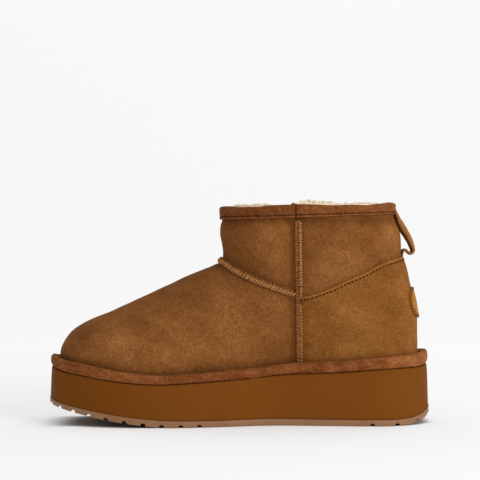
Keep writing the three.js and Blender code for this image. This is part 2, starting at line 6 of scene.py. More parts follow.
# %% Load the frame
import math
import bpy
import numpy as np
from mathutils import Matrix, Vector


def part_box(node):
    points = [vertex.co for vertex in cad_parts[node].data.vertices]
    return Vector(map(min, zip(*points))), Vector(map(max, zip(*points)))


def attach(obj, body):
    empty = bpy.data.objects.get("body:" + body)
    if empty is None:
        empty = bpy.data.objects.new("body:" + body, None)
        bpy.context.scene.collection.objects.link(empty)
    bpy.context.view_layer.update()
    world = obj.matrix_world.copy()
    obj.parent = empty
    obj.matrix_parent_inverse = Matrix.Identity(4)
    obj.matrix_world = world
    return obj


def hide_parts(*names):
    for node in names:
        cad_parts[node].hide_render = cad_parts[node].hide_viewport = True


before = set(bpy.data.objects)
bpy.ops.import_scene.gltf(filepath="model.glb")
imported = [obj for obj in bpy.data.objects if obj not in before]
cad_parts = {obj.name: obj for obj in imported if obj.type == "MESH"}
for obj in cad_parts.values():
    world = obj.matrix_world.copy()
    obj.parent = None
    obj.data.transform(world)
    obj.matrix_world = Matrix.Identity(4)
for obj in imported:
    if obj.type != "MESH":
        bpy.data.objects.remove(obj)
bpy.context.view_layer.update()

print("nodes:", sorted(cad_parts))

# %% [markdown]
# The boot's sizes. A designer would keep them in a spec sheet: a few lengths, and small tables whose
# columns are shares of those lengths. A smooth curve through a column that never overshoots keeps flat
# stretches flat, which a plain spline would not.

# %% Named sizes and tables
SOLE_LENGTH = 265.0
BALL_WIDTH = 100.0
WAIST_WIDTH = 76.0
HEEL_WIDTH = 80.0
TOE_ROUND = 84.0
HEEL_ROUND = 44.0
OUTLINE_POWER = 2.3
GUM_THICKNESS = 4.4
TOE_SPRING = 13.5
HEEL_BEVEL = 7.6
WAIST_RISE = 0.4
BALL_HEIGHT = 28.7
TOE_LIFT = 10.3
HEEL_LIFT = 12.3
UPPER_INSET = 7.0
WALL = 2.6
INSTEP_HEIGHT = 109.8
COLLAR_FRONT = 147.9
COLLAR_BACK = 150.1
HEEL_LEAN = 17.7
SHAFT_WIDTH = 75.0
SHAFT_ROUND = 50.0
SIDE_SWELL = 2.2
SWELL_HEIGHT = 46.0
PIPING_HEIGHT = 7.0
SIDE_SEAM_AT = 0.651
SIDE_SEAM_SLANT = 2.4
GAP = 0.3
print("shaft's top above the piping, mm:", COLLAR_BACK - PIPING_HEIGHT)


# %% Tables of the side view and the plan
def table(names, rows):
    """Columns by name from rows of numbers."""
    return dict(zip(names.split(), np.array(rows, dtype=float).T))


PLAN = table("at ball waist heel shift", [
    [0.00, 0.86, 0.00, 0.00, -0.060], [0.12, 0.93, 0.00, 0.00, -0.048], [0.24, 0.985, 0.00, 0.00, -0.022],
    [0.34, 1.00, 0.00, 0.00, 0.000], [0.46, 0.55, 0.47, 0.00, 0.020], [0.60, 0.00, 1.00, 0.00, 0.030],
    [0.74, 0.00, 0.45, 0.55, 0.016], [0.88, 0.00, 0.00, 1.00, 0.000], [1.00, 0.00, 0.00, 0.97, 0.000]])
GROUND = table("at spring waist bevel", [
    [0.000, 1.00, 0, 0.00], [0.020, 0.83, 0, 0.00], [0.060, 0.64, 0, 0.00], [0.100, 0.50, 0, 0.00],
    [0.150, 0.34, 0, 0.00], [0.200, 0.20, 0, 0.00], [0.260, 0.08, 0, 0.00], [0.330, 0.00, 0, 0.00],
    [0.430, 0.00, 0, 0.00], [0.580, 0.00, 1, 0.00], [0.740, 0.00, 0, 0.00], [0.900, 0.00, 0, 0.00],
    [0.935, 0.00, 0, 0.07], [0.965, 0.00, 0, 0.29], [0.985, 0.00, 0, 0.60], [1.000, 0.00, 0, 1.00]])
DECK = table("at toe heel", [
    [0.00, 1.00, 0.00], [0.03, 0.66, 0.00], [0.10, 0.34, 0.00], [0.17, 0.13, 0.00], [0.30, 0.00, 0.00],
    [0.39, 0.00, 0.08], [0.52, 0.00, 0.28], [0.63, 0.00, 0.48], [0.76, 0.00, 0.60], [0.88, 0.00, 0.80],
    [0.97, 0.00, 0.87], [1.00, 0.00, 1.00]])
# Touches at the toe, in mm over x: how far the photo's curves lie above the plain ones.
TOUCH = table("x deck ground gum", [
    [0, 1.8, 1.7, 0.5], [12, 1.8, 1.7, 0.7], [24, 1.9, 1.45, 0.9], [38, 1.5, 0.9, 0.85],
    [56, 0.5, 0.55, 0.75], [76, 0.0, 0.1, 0.5], [110, 0.0, 0.0, 0.05], [140, 0, 0, 0], [265, 0, 0, 0]])
BACK = table("up lean", [
    [0.000, 0.000], [0.108, 0.113], [0.265, 0.130], [0.366, 0.210], [0.449, 0.322], [0.587, 0.520],
    [0.707, 0.690], [0.762, 0.700], [0.817, 0.725], [0.891, 0.853], [0.947, 0.966], [1.000, 1.000]])
SECTION_NAMES = "at up topAt instep shaft crown power"
SECTIONS = table("number " + SECTION_NAMES, [
    [0, 0.000, 0.00, 0.0000, 0.110, 0.00, 0.80, 2.3], [1, 0.008, 0.00, 0.0080, 0.220, 0.00, 0.82, 2.3],
    [2, 0.031, 0.00, 0.0307, 0.364, 0.00, 0.85, 2.3], [3, 0.062, 0.00, 0.0618, 0.452, 0.00, 0.88, 2.2],
    [4, 0.106, 0.00, 0.1064, 0.534, 0.00, 0.90, 2.2], [5, 0.162, 0.00, 0.1622, 0.613, 0.00, 0.92, 2.1],
    [6, 0.262, 0.00, 0.2610, 0.757, 0.00, 0.95, 2.0], [7, 0.360, 0.00, 0.3566, 0.893, 0.00, 0.95, 1.9],
    [8, 0.440, 0.00, 0.4124, 0.965, 0.00, 0.90, 1.9], [9, 0.560, 0.00, 0.4390, 1.000, 0.03, 0.75, 1.9],
    [10, 0.690, 0.00, 0.4515, 1.000, 0.13, 0.58, 2.0], [11, 0.810, 0.00, 0.4550, 1.000, 0.24, 0.46, 2.0],
    [12, 0.910, 0.00, 0.4530, 1.000, 0.35, 0.40, 2.0], [13, 0.975, 0.00, 0.4508, 1.000, 0.42, 0.38, 2.0],
    [14, 1.000, 0.00, 0.4490, 1.000, 0.47, 0.37, 2.0], [15, 1.000, 0.22, 0.4472, 1.000, 0.56, 0.37, 2.0],
    [16, 1.000, 0.45, 0.4470, 1.000, 0.65, 0.39, 2.0], [17, 1.000, 0.69, 0.4472, 1.000, 0.725, 0.41, 2.0],
    [18, 1.000, 0.92, 0.4495, 1.000, 0.78, 0.42, 2.0], [19, 1.000, 1.00, 0.4530, 1.000, 1.00, 0.42, 2.0]])


print("rows in the plan's table:", len(PLAN["at"]), "and in the sections':", len(SECTIONS["at"]))


# %% Smooth curves through the tables
def smooth(columns, key, name):
    """Cubic pieces through one column. Each tangent is the weighted harmonic mean of its two slopes."""
    xs, ys = columns[key], columns[name]
    step = np.diff(xs)
    slope = np.diff(ys) / step
    tangent = np.zeros_like(ys)
    tangent[0], tangent[-1] = slope[0], slope[-1]
    before, after = step[:-1], step[1:]
    rising = slope[:-1] * slope[1:] > 0
    left, right = np.where(rising, slope[:-1], 1), np.where(rising, slope[1:], 1)
    mean = 3 * (before + after) / ((2 * after + before) / left + (after + 2 * before) / right)
    tangent[1:-1] = np.where(rising, mean, 0)

    def curve(x):
        """Value at x: an s-shaped step between two rows plus what their tangents pull."""
        x = np.asarray(x, dtype=float)
        i = np.clip(np.searchsorted(xs, x, side="right") - 1, 0, len(xs) - 2)
        t = np.clip((x - xs[i]) / step[i], 0, 1)
        pull = step[i] * (tangent[i] * t * (1 - t) ** 2 - tangent[i + 1] * t * t * (1 - t))
        return ys[i] + (ys[i + 1] - ys[i]) * t * t * (3 - 2 * t) + pull

    return curve


plan = {name: smooth(PLAN, "at", name) for name in ("ball", "waist", "heel", "shift")}
ground = {name: smooth(GROUND, "at", name) for name in ("spring", "waist", "bevel")}
deck = {name: smooth(DECK, "at", name) for name in ("toe", "heel")}
section = {name: smooth(SECTIONS, "number", name) for name in SECTION_NAMES.split()}
back_lean = smooth(BACK, "up", "lean")
touch = {name: smooth(TOUCH, "x", name) for name in ("deck", "ground", "gum")}
print("lean of the back halfway up:", float(back_lean(0.5)))

# %% [markdown]
# The sole's outline. A last maker draws it round a middle line that bends with the foot. Here the half
# width at x is rounded off at toe and heel by a superellipse, so one formula gives every inset outline,
# and pieces that sit inside each other stay parallel.


# %% Outline, ground, deck and the upper's skin as formulas
def mix(a, b, t):
    """a at 0, b at 1 and a straight line between them."""
    return a + (b - a) * t


def ease(t):
    """0 to 1 with level ends: 3 t squared minus 2 t cubed."""
    t = np.clip(t, 0, 1)
    return t * t * (3 - 2 * t)


def bell(away, width):
    """1 at no distance, falling off to both sides: e to the power of minus the squared distance in widths."""
    return np.exp(-(away / width) ** 2)


def round_off(distance, length, power):
    """0 at an edge and 1 from a length on: the quarter of a rounded square of the given power."""
    return (1 - (1 - np.clip(distance / length, 0, 1)) ** power) ** (1 / power)


def half_width(x):
    """Half the sole's width before its ends are rounded: three widths, each with its own share at x."""
    widths = {"ball": BALL_WIDTH, "waist": WAIST_WIDTH, "heel": HEEL_WIDTH}
    return sum(width * plan[name](x / SOLE_LENGTH) for name, width in widths.items()) / 2


def middle_line(x):
    """y of the foot's bent middle line."""
    return BALL_WIDTH * plan["shift"](x / SOLE_LENGTH)


def toe_rounding(x, inset):
    """Share of the width that the rounded toe leaves at x."""
    return round_off(x - inset, TOE_ROUND - inset, OUTLINE_POWER)


def sole_reach(x, inset):
    """Half the outline's width at x once it is moved inwards."""
    heel = round_off(SOLE_LENGTH - inset - x, HEEL_ROUND - inset, OUTLINE_POWER)
    return (half_width(x) - inset) * toe_rounding(x, inset) * heel


def ground_height(x):
    """Underside of the lugs: toe spring, the rise at the waist and the bevel of the heel, summed."""
    at = x / SOLE_LENGTH
    spring, waist = TOE_SPRING * ground["spring"](at), WAIST_RISE * ground["waist"](at)
    return spring + waist + HEEL_BEVEL * ground["bevel"](at) + touch["ground"](x)


def gum_top(x):
    """Upper edge of the gum rim, one thickness above its underside."""
    return ground_height(x) + GUM_THICKNESS + touch["gum"](x) - touch["ground"](x)


def deck_height(x):
    """Top of the platform: its height at the ball, lifted towards toe and heel."""
    at = x / SOLE_LENGTH
    return BALL_HEIGHT + TOE_LIFT * deck["toe"](at) + HEEL_LIFT * deck["heel"](at) + touch["deck"](x)


def foot_edge(x):
    """Lower edge of the upper, one gap above the platform."""
    return deck_height(x) + GAP


def piping_top(x):
    """Height at which the upper comes out of the piping."""
    return deck_height(x) + 2 * GAP + PIPING_HEIGHT


print("deck at the ball, mm:", float(deck_height(95.0)), "piping's top:", float(piping_top(95.0)))


# %% The upper's skin
UPPER_LENGTH = SOLE_LENGTH - 2 * UPPER_INSET
HEEL_END = SOLE_LENGTH - UPPER_INSET
HEEL_FOOT = float(foot_edge(HEEL_END))


def back_at(z):
    """x of the upper's back at height z."""
    return HEEL_END - HEEL_LEAN * back_lean(np.clip((z - HEEL_FOOT) / (COLLAR_BACK - HEEL_FOOT), 0, 1))


def upper_reach(x, z):
    """Half the upper's width at a place of its side view, before a section rounds shut."""
    lift = ease((z - piping_top(x)) / (COLLAR_BACK - piping_top(x)))
    foot = half_width(x) - UPPER_INSET
    swell = SIDE_SWELL * np.sin(math.pi * np.clip((z - piping_top(x)) / SWELL_HEIGHT, 0, 1)) ** 2
    heel_round = mix(HEEL_ROUND - UPPER_INSET, SHAFT_ROUND, lift)
    heel = round_off(back_at(z) - x, heel_round, mix(OUTLINE_POWER, 2, lift))
    return (mix(foot, SHAFT_WIDTH / 2, lift) + swell) * toe_rounding(x, UPPER_INSET) * heel


def upper_ends(number):
    """Lower and upper end of a section in the side view."""
    row = {name: curve(number) for name, curve in section.items()}
    back_z = mix(HEEL_FOOT, COLLAR_BACK, row["up"])
    low_x = np.where(row["up"] > 0, back_at(back_z), UPPER_INSET + row["at"] * UPPER_LENGTH)
    low_z = np.where(row["up"] > 0, back_z, foot_edge(low_x))
    top_x = UPPER_INSET + row["topAt"] * UPPER_LENGTH
    foot = foot_edge(low_x) - touch["deck"](low_x)
    top_z = mix(foot, INSTEP_HEIGHT, row["instep"]) + (COLLAR_FRONT - INSTEP_HEIGHT) * row["shaft"]
    return row, low_x, low_z, top_x, top_z


def upper_skin(number, across):
    """Skin of the upper. A section is a plane from its lower to its upper end; across runs 0 to 1 from
    the inner edge of the foot over the top to the outer edge, and the reach sets how far out it lies."""
    row, low_x, low_z, top_x, top_z = upper_ends(number)
    share = 1 - np.abs(1 - 2 * across)
    closed = ease((row["at"] - 0.75) / 0.25)
    up = mix(np.sin(math.pi * share / 2), (1 - np.cos(math.pi * share)) / 2, closed)
    x, z = mix(low_x, top_x, up), mix(low_z, top_z, up)
    length = np.hypot(top_x - low_x, top_z - low_z)
    reach = upper_reach(x, z) * round_off((1 - up) * length, row["crown"] * length, row["power"])
    return np.stack([x, middle_line(x) + np.sign(across - 0.5) * reach, z], axis=-1)


print("toe of the upper, mm:", upper_skin(np.array(0.0), np.array(0.5)).round(1))


# %% Place in the frame
outsole_low = np.array(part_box("outsole")[0]) * 1000
stations = np.linspace(0, SOLE_LENGTH, 2001)
side_low = float((middle_line(stations) - sole_reach(stations, 0)).min())
SHIFT = np.array([outsole_low[0], outsole_low[1] - side_low, outsole_low[2]])
print("place of the toe tip in the frame, mm:", SHIFT.round(2))

# %% [markdown]
# Meshes from grids. Every surface is a grid of points, so its faces follow from the index arithmetic of
# rows and columns. Points that fall together, at poles and where an outline closes, are merged, and a
# closed mesh whose volume comes out negative is turned over, so faces always point out.


# %% Grid to mesh
def put(name, data):
    """An object for the data, linked into the scene."""
    thing = bpy.data.objects.new(name, data)
    bpy.context.collection.objects.link(thing)
    return thing


def shade(mesh, material):
    """Smooth faces and one material."""
    mesh.polygons.foreach_set("use_smooth", np.ones(len(mesh.polygons), dtype=bool))
    mesh.materials.append(material)
    mesh.update()


def grid_faces(rows, cols, wrap_rows, wrap_cols):
    """Four corners of every cell of a grid."""
    i, j = np.meshgrid(np.arange(rows - (not wrap_rows)), np.arange(cols - (not wrap_cols)), indexing="ij")
    i, j = i.ravel(), j.ravel()
    k, m = (i + 1) % rows, (j + 1) % cols
    return np.stack([i * cols + j, i * cols + m, k * cols + m, k * cols + j], axis=1)


def merged(points, faces):
    """Merges equal points and turns cells with equal corners into triangles."""
    _, first, number = np.unique(np.round(points, 3), axis=0, return_index=True, return_inverse=True)
    faces = number.reshape(-1)[faces]
    same = faces == np.roll(faces, -1, axis=1)
    quads = faces[same.sum(axis=1) == 0]
    once = same.sum(axis=1) == 1
    keep = ~same[once]
    triangles = faces[once][keep].reshape(-1, 3)
    crossed = (triangles[:, 0] == triangles[:, 1]) | (triangles[:, 1] == triangles[:, 2])
    return first, quads, triangles[~crossed]


def outward(points, quads, triangles):
    """Reverses all faces if the signed volume is negative."""
    whole = np.concatenate([quads[:, [0, 1, 2]], quads[:, [0, 2, 3]], triangles])
    a, b, c = (points[whole[:, k]] for k in range(3))
    if np.einsum("ij,ij->i", a, np.cross(b, c)).sum() < 0:
        return quads[:, ::-1], triangles[:, ::-1]
    return quads, triangles


def add_mesh(name, points, faces, material, attributes=None):
    """A piece from millimetre points and four-cornered faces, placed in the frame."""
    flat = points.reshape(-1, 3) + SHIFT
    first, quads, triangles = merged(flat, faces)
    flat = flat[first]
    quads, triangles = outward(flat, quads, triangles)
    mesh = bpy.data.meshes.new(name)
    mesh.from_pydata((flat / 1000).tolist(), [], quads.tolist() + triangles.tolist())
    for key, values in (attributes or {}).items():
        layer = mesh.attributes.new(key, "FLOAT", "POINT")
        layer.data.foreach_set("value", np.broadcast_to(values, points.shape[:-1]).reshape(-1)[first])
    shade(mesh, material)
    piece = put(name, mesh)
    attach(piece, "root")
    print(name, "triangles", 2 * len(quads) + len(triangles))
    return piece


def add_grid(name, points, material, wrap_rows=False, wrap_cols=False, attributes=None):
    """A piece from one grid of points."""
    faces = grid_faces(points.shape[0], points.shape[1], wrap_rows, wrap_cols)
    return add_mesh(name, points, faces, material, attributes)


def add_many(name, points, material):
    """One piece from many small grids of equal size, each a tube whose columns close."""
    count, rows, cols = points.shape[:3]
    cells = grid_faces(rows, cols, False, True)
    faces = (cells[None] + (np.arange(count) * rows * cols)[:, None, None]).reshape(-1, 4)
    return add_mesh(name, points, faces, material)


print("cells in a grid of 4 by 3:", len(grid_faces(4, 3, False, False)))


# %% Directions, lengths, noise and tubes
def normals_of(points):
    """Outward directions of a grid: cell normals gathered at the corners, shared by equal points."""
    rows, cols = points.shape[:2]
    flat = points.reshape(-1, 3)
    cells = grid_faces(rows, cols, False, False)
    a, b, c, d = (flat[cells[:, k]] for k in range(4))
    normal = np.cross(c - a, d - b)
    _, number = np.unique(np.round(flat, 3), axis=0, return_inverse=True)
    number = number.reshape(-1)
    total = np.zeros((number.max() + 1, 3))
    for k in range(4):
        np.add.at(total, number[cells[:, k]], normal)
    length = np.linalg.norm(total, axis=1, keepdims=True)
    return (total / np.maximum(length, 1e-12))[number].reshape(rows, cols, 3)


def unit(vectors):
    """Vectors of length 1 in the same directions."""
    return vectors / np.maximum(np.linalg.norm(vectors, axis=-1, keepdims=True), 1e-12)


def xyz(points):
    """The three coordinates of an array of points."""
    return points[..., 0], points[..., 1], points[..., 2]


def walked(line):
    """Arc length at every point of a line: the lengths of its straight parts, summed."""
    return np.concatenate([[0], np.cumsum(np.linalg.norm(np.diff(line, axis=0), axis=1))])


def wave_noise(points, size, seed):
    """Soft seeded noise from -1 to 1: twelve sine waves of random direction, about one size long."""
    random = np.random.default_rng(seed)
    total = 0
    for _ in range(12):
        direction = random.normal(size=3)
        direction *= 2 * math.pi / (size * np.linalg.norm(direction)) * random.uniform(0.6, 1.5)
        total = total + np.sin(points @ direction + random.uniform(0, 2 * math.pi))
    return total / 5


def tubes(paths, sideways, radius, sides):
    """Tubes along paths (count, steps, 3). Rings shrink to a point at both ends, so each tube is closed.
    sideways is a direction across each path; the ring runs round it and its perpendicular."""
    steps = paths.shape[1]
    along = unit(np.gradient(paths, axis=1))
    side = unit(sideways - (sideways * along).sum(-1, keepdims=True) * along)
    up = np.cross(along, side)
    angle = 2 * math.pi * np.arange(sides) / sides
    taper = np.sqrt(np.clip(1 - (2 * np.arange(steps) / (steps - 1) - 1) ** 6, 0, 1))
    ring = side[:, :, None] * np.cos(angle)[:, None] + up[:, :, None] * np.sin(angle)[:, None]
    return paths[:, :, None] + radius * taper[None, :, None, None] * ring


print("length of a line with a corner, mm:", walked(np.array([[0, 0, 0], [3, 0, 0], [3, 4, 0]]))[-1])

# %% [markdown]
# The view. The collar shows almost level while the sole shows a little from above, so the camera stands
# level with the upper, about 1.15 m off. The floor runs up into a wall behind it, as a studio's paper does,
# and broad soft lights leave only the contact shadow under toe and heel.

# %% Camera
CAMERA_DISTANCE = 1.15
CAMERA_HEIGHT = 0.1264
CAMERA_ASIDE = 0.0007
VIEW_WIDTH = 0.3365
PAPER_NEAR = 0.438
PAPER_FAR = 0.50

camera_data = bpy.data.cameras.new("camera")
camera_data.angle = 2 * math.atan(VIEW_WIDTH / 2 / CAMERA_DISTANCE)
camera = put("camera", camera_data)
camera.location = (CAMERA_ASIDE, -CAMERA_DISTANCE, CAMERA_HEIGHT)
camera.rotation_euler = (math.radians(90), 0, 0)
bpy.context.scene.camera = camera
print("camera angle, degrees:", round(math.degrees(camera_data.angle), 2))

# %% Paper


def paper_material():
    """Grey paper with a glow of its own, so it looks evenly lit."""
    material = bpy.data.materials.new("paper")
    material.use_nodes = True
    shader = material.node_tree.nodes["Principled BSDF"]
    shader.inputs["Base Color"].default_value = (0.5, 0.5, 0.5, 1)
    shader.inputs["Roughness"].default_value = 1.0
    shader.inputs["Specular IOR Level"].default_value = 0.0
    shader.inputs["Emission Color"].default_value = (1, 1, 1, 1)
    glow = material.node_tree.nodes.new("ShaderNodeAttribute")
    glow.attribute_name = "glow"
    material.node_tree.links.new(glow.outputs["Fac"], shader.inputs["Emission Strength"])
    return material


def paper_glow(x, y):
    """Glow at a place, in mm: more towards the wall, and none under the sole, where light cannot come.
    Under the toe it fades from the tip inwards."""
    along = x - SHIFT[0]
    at = np.clip(along, 22, SOLE_LENGTH - 4)
    inside = sole_reach(at, 0) - np.abs(y - SHIFT[1] - middle_line(at))
    under = ease((inside + 1) / 6) * ease((along + 8) / 30) * ease((SOLE_LENGTH + 3 - along) / 8)
    return mix(PAPER_NEAR, PAPER_FAR, ease((y + 200) / 1300)) * (1 - under)


def paper():
    """Floor, quarter round and wall: a profile in Y and Z swept along X, with a fine net near the boot."""
    turn = np.linspace(0, math.pi / 2, 12)
    back, bend = 1400.0, 600.0
    near = np.linspace(-70, 70, 57)
    y = np.concatenate([[-4000, -300], near, [300, 800], back + bend * np.sin(turn), [back + bend]])
    z = np.concatenate([np.zeros(len(near) + 4), bend * (1 - np.cos(turn)), [4000]])
    x = np.concatenate([[-5000, -400], np.linspace(-160, 160, 129), [400, 5000]])
    rows, cols = len(y), len(x)
    points = np.stack([x + 0 * y[:, None], y[:, None] + 0 * x, z[:, None] + 0 * x], axis=-1)
    first = (np.arange(rows - 1)[:, None] * cols + np.arange(cols - 1)).reshape(-1)
    mesh = bpy.data.meshes.new("paper")
    faces = np.stack([first, first + 1, first + cols + 1, first + cols], axis=1)
    mesh.from_pydata((points.reshape(-1, 3) / 1000).tolist(), [], faces.tolist())
    glow = mesh.attributes.new("glow", "FLOAT", "POINT")
    glow.data.foreach_set("value", paper_glow(points[..., 0], points[..., 1]).reshape(-1))
    shade(mesh, paper_material())
    put("paper", mesh)


paper()
print("glow of the paper beside the toe:", float(paper_glow(SHIFT[0] - 20, 0.0)))


# %% Lights
def soft_light(name, place, target, size, power):
    """A square area light that looks at a target."""
    data = bpy.data.lights.new(name, "AREA")
    data.size = size
    data.energy = power
    light = put(name, data)
    light.location = place
    aim = np.array(target) - np.array(place)
    light.rotation_euler = (math.atan2(math.hypot(aim[0], aim[1]), -aim[2]), 0, math.atan2(-aim[0], aim[1]))


WORLD_STRENGTH = 0.60
world = bpy.data.worlds.new("studio")
world.use_nodes = True
world.node_tree.nodes["Background"].inputs["Color"].default_value = (1, 1, 1, 1)
world.node_tree.nodes["Background"].inputs["Strength"].default_value = WORLD_STRENGTH
bpy.context.scene.world = world
bpy.context.scene.view_settings.view_transform = "Standard"
soft_light("key", (1.2, -1.3, 0.75), (0, 0, 0.06), 0.8, 17)
soft_light("top", (0.5, 0.4, 1.9), (0, 0, 0.05), 1.2, 7)
print("lights:", len(bpy.data.lights))

# %% [markdown]
# Materials. Suede is matt and lit softly from all sides, because its fibres stand up: a rough surface with
# a little sheen. Its tone changes where the nap was stroked and where shade and highlights are painted in, so
# the colour follows an attribute that is worked out point by point, and noise in the piece's own coordinates
# adds the mottling and the grain.


# %% Short calls for materials
def srgb(red, green, blue):
    """Colour given as 0 to 255 to the linear value that a shader takes."""
    values = np.array([red, green, blue]) / 255
    linear = np.where(values <= 0.04045, values / 12.92, ((values + 0.055) / 1.055) ** 2.4)
    return (*linear.tolist(), 1.0)


class Nodes:
    """Short calls for building a material."""

    def __init__(self, name, roughness, specular, sheen=0.0, sheen_color=(1, 1, 1, 1)):
        """A new material with its surface's finish; textures lie in the piece's own space."""
        self.material = bpy.data.materials.new(name)
        self.material.use_nodes = True
        self.tree = self.material.node_tree
        self.shader = self.tree.nodes["Principled BSDF"]
        self.shader.inputs["Roughness"].default_value = roughness
        self.shader.inputs["Specular IOR Level"].default_value = specular
        self.shader.inputs["Sheen Weight"].default_value = sheen
        self.shader.inputs["Sheen Roughness"].default_value = 0.5
        self.shader.inputs["Sheen Tint"].default_value = sheen_color
        self.place = self.tree.nodes.new("ShaderNodeTexCoord").outputs["Object"]

    def join(self, source, target):
        """A wire from an output to an input."""
        self.tree.links.new(source, target)

    def noise(self, scale, detail=2.0, roughness=0.5, distortion=0.0):
        """Cloudy noise with a number of lumps per metre."""
        node = self.tree.nodes.new("ShaderNodeTexNoise")
        node.inputs["Scale"].default_value = scale
        node.inputs["Detail"].default_value = detail
        node.inputs["Roughness"].default_value = roughness
        node.inputs["Distortion"].default_value = distortion
        self.join(self.place, node.inputs["Vector"])
        return node.outputs["Fac"]

    def attribute(self, key):
        """A value stored at the mesh's points."""
        node = self.tree.nodes.new("ShaderNodeAttribute")
        node.attribute_name = key
        return node.outputs["Fac"]

    def math(self, kind, a, b):
        """Sum or product of two values or outputs."""
        node = self.tree.nodes.new("ShaderNodeMath")
        node.operation = kind
        for socket, value in zip(node.inputs, (a, b)):
            if isinstance(value, (int, float)):
                socket.default_value = value
            else:
                self.join(value, socket)
        return node.outputs["Value"]

    def ramp(self, factor, stops):
        """Colour for a factor, mixed between the stops on both sides of it."""
        node = self.tree.nodes.new("ShaderNodeValToRGB")
        elements = node.color_ramp.elements
        while len(elements) < len(stops):
            elements.new(0.5)
        for element, (at, color) in zip(elements, stops):
            element.position = at
            element.color = color
        self.join(factor, node.inputs["Fac"])
        return node.outputs["Color"]

    def blend(self, factor, a, b):
        """Colour a at factor 0 and b at factor 1."""
        node = self.tree.nodes.new("ShaderNodeMix")
        node.data_type = "RGBA"
        for key, value in ((0, factor), (6, a), (7, b)):
            if isinstance(value, (int, float, tuple)):
                node.inputs[key].default_value = value
            else:
                self.join(value, node.inputs[key])
        return node.outputs[2]

    def color(self, socket):
        """Takes an output as the surface's colour."""
        self.join(socket, self.shader.inputs["Base Color"])

    def bump(self, heights):
        """Chains bumps: each is a height, a strength and a distance in metres."""
        normal = None
        for height, strength, distance in heights:
            node = self.tree.nodes.new("ShaderNodeBump")
            node.inputs["Strength"].default_value = strength
            node.inputs["Distance"].default_value = distance
            self.join(height, node.inputs["Height"])
            if normal is not None:
                self.join(normal, node.inputs["Normal"])
            normal = node.outputs["Normal"]
        self.join(normal, self.shader.inputs["Normal"])


print("linear value of a middle grey:", srgb(128, 128, 128)[0])


# %% Suede, foam and gum
def suede(name, dark, middle, light, patch=26.0):
    """Brushed suede: the tone is a weighted sum of noises and the nap attribute, which also carries painted
    shade and painted highlights, and picks a colour between dark and light. Fine noise gives the fibres."""
    nodes = Nodes(name, 0.95, 0.06, 0.16, srgb(206, 140, 84))
    mottle = nodes.noise(patch, 4.0, 0.6, distortion=0.6)
    cloud = nodes.noise(patch * 4.5, 3.0, 0.6)
    grain = nodes.noise(620, 3.0, 0.75)
    speck = nodes.noise(260, 2.0, 0.6)
    tone = -0.345
    parts = ((mottle, 0.25), (cloud, 0.04), (nodes.attribute("nap"), 0.36), (grain, 0.86), (speck, 0.12))
    for source, weight in parts:
        tone = nodes.math("ADD", tone, nodes.math("MULTIPLY", source, weight))
    nodes.color(nodes.ramp(tone, [(0.18, dark), (0.48, middle), (0.76, light)]))
    fibre = nodes.noise(2600, 2.0, 0.6)
    clump = nodes.noise(620, 3.0, 0.6)
    nodes.bump([(clump, 0.35, 0.0006), (fibre, 0.45, 0.0003)])
    return nodes.material


def foam():
    """Smooth foam: one brown with soft clouds and a fine skin."""
    nodes = Nodes("foam", 0.7, 0.04)
    skin = nodes.noise(420, 3.0, 0.6)
    cloud = nodes.noise(14, 2.0, 0.5)
    tone = nodes.math("ADD", nodes.math("MULTIPLY", cloud, 0.7), nodes.math("MULTIPLY", skin, 0.3))
    nodes.color(nodes.ramp(tone, [(0.3, srgb(108, 60, 13)), (0.7, srgb(118, 67, 19))]))
    nodes.bump([(nodes.noise(900, 2.0, 0.5), 0.12, 0.0002)])
    return nodes.material


def gum():
    """Gum rubber: a little glossier and paler."""
    nodes = Nodes("gum", 0.55, 0.35)
    cloud = nodes.noise(40, 3.0, 0.6)
    nodes.color(nodes.ramp(cloud, [(0.3, srgb(130, 90, 58)), (0.7, srgb(146, 104, 70))]))
    nodes.bump([(nodes.noise(1200, 2.0, 0.5), 0.15, 0.0002)])
    return nodes.material


FOAM = foam()
GUM = gum()
print("materials:", len(bpy.data.materials))


# %% Wool and thread
def wool(name):
    """Wool pile: cream and matt. A little glow is painted light: it stands for the light that wool scatters
    inside and lifts the shade between the curls.
    """
    nodes = Nodes(name, 1.0, 0.05, 0.4, srgb(255, 246, 226))
    curl = nodes.noise(330, 4.0, 0.65, distortion=1.2)
    nodes.color(nodes.ramp(curl, [(0.32, srgb(216, 200, 174)), (0.55, srgb(230, 216, 194)),
                                  (0.8, srgb(240, 232, 216))]))
    tuft = nodes.noise(170, 3.0, 0.6, distortion=1.6)
    nodes.bump([(tuft, 0.4, 0.003), (curl, 0.6, 0.0015), (nodes.noise(1500, 2.0, 0.6), 0.2, 0.0004)])
    nodes.shader.inputs["Emission Color"].default_value = srgb(240, 224, 196)
    nodes.shader.inputs["Emission Strength"].default_value = 0.2
    return nodes.material


def thread(name, color):
    """Waxed thread, in patches down to 0.72 of its colour."""
    nodes = Nodes(name, 0.8, 0.05)
    nodes.color(nodes.blend(nodes.noise(1800, 2.0), color, tuple(0.72 * c for c in color[:3]) + (1.0,)))
    return nodes.material


WOOL = wool("wool")
PALE_THREAD = thread("pale_thread", srgb(206, 150, 96))
# A darker copy of the pale thread, for some columns of the seams.
DARKER_THREAD = thread("darker_thread", srgb(172, 117, 70))
# Dark thread for the topstitching, also used as painted shade in the seams' stitch holes.
DARK_THREAD_AND_HOLE_SHADE = thread("dark_thread_and_hole_shade", srgb(40, 20, 8))
print("materials:", len(bpy.data.materials))

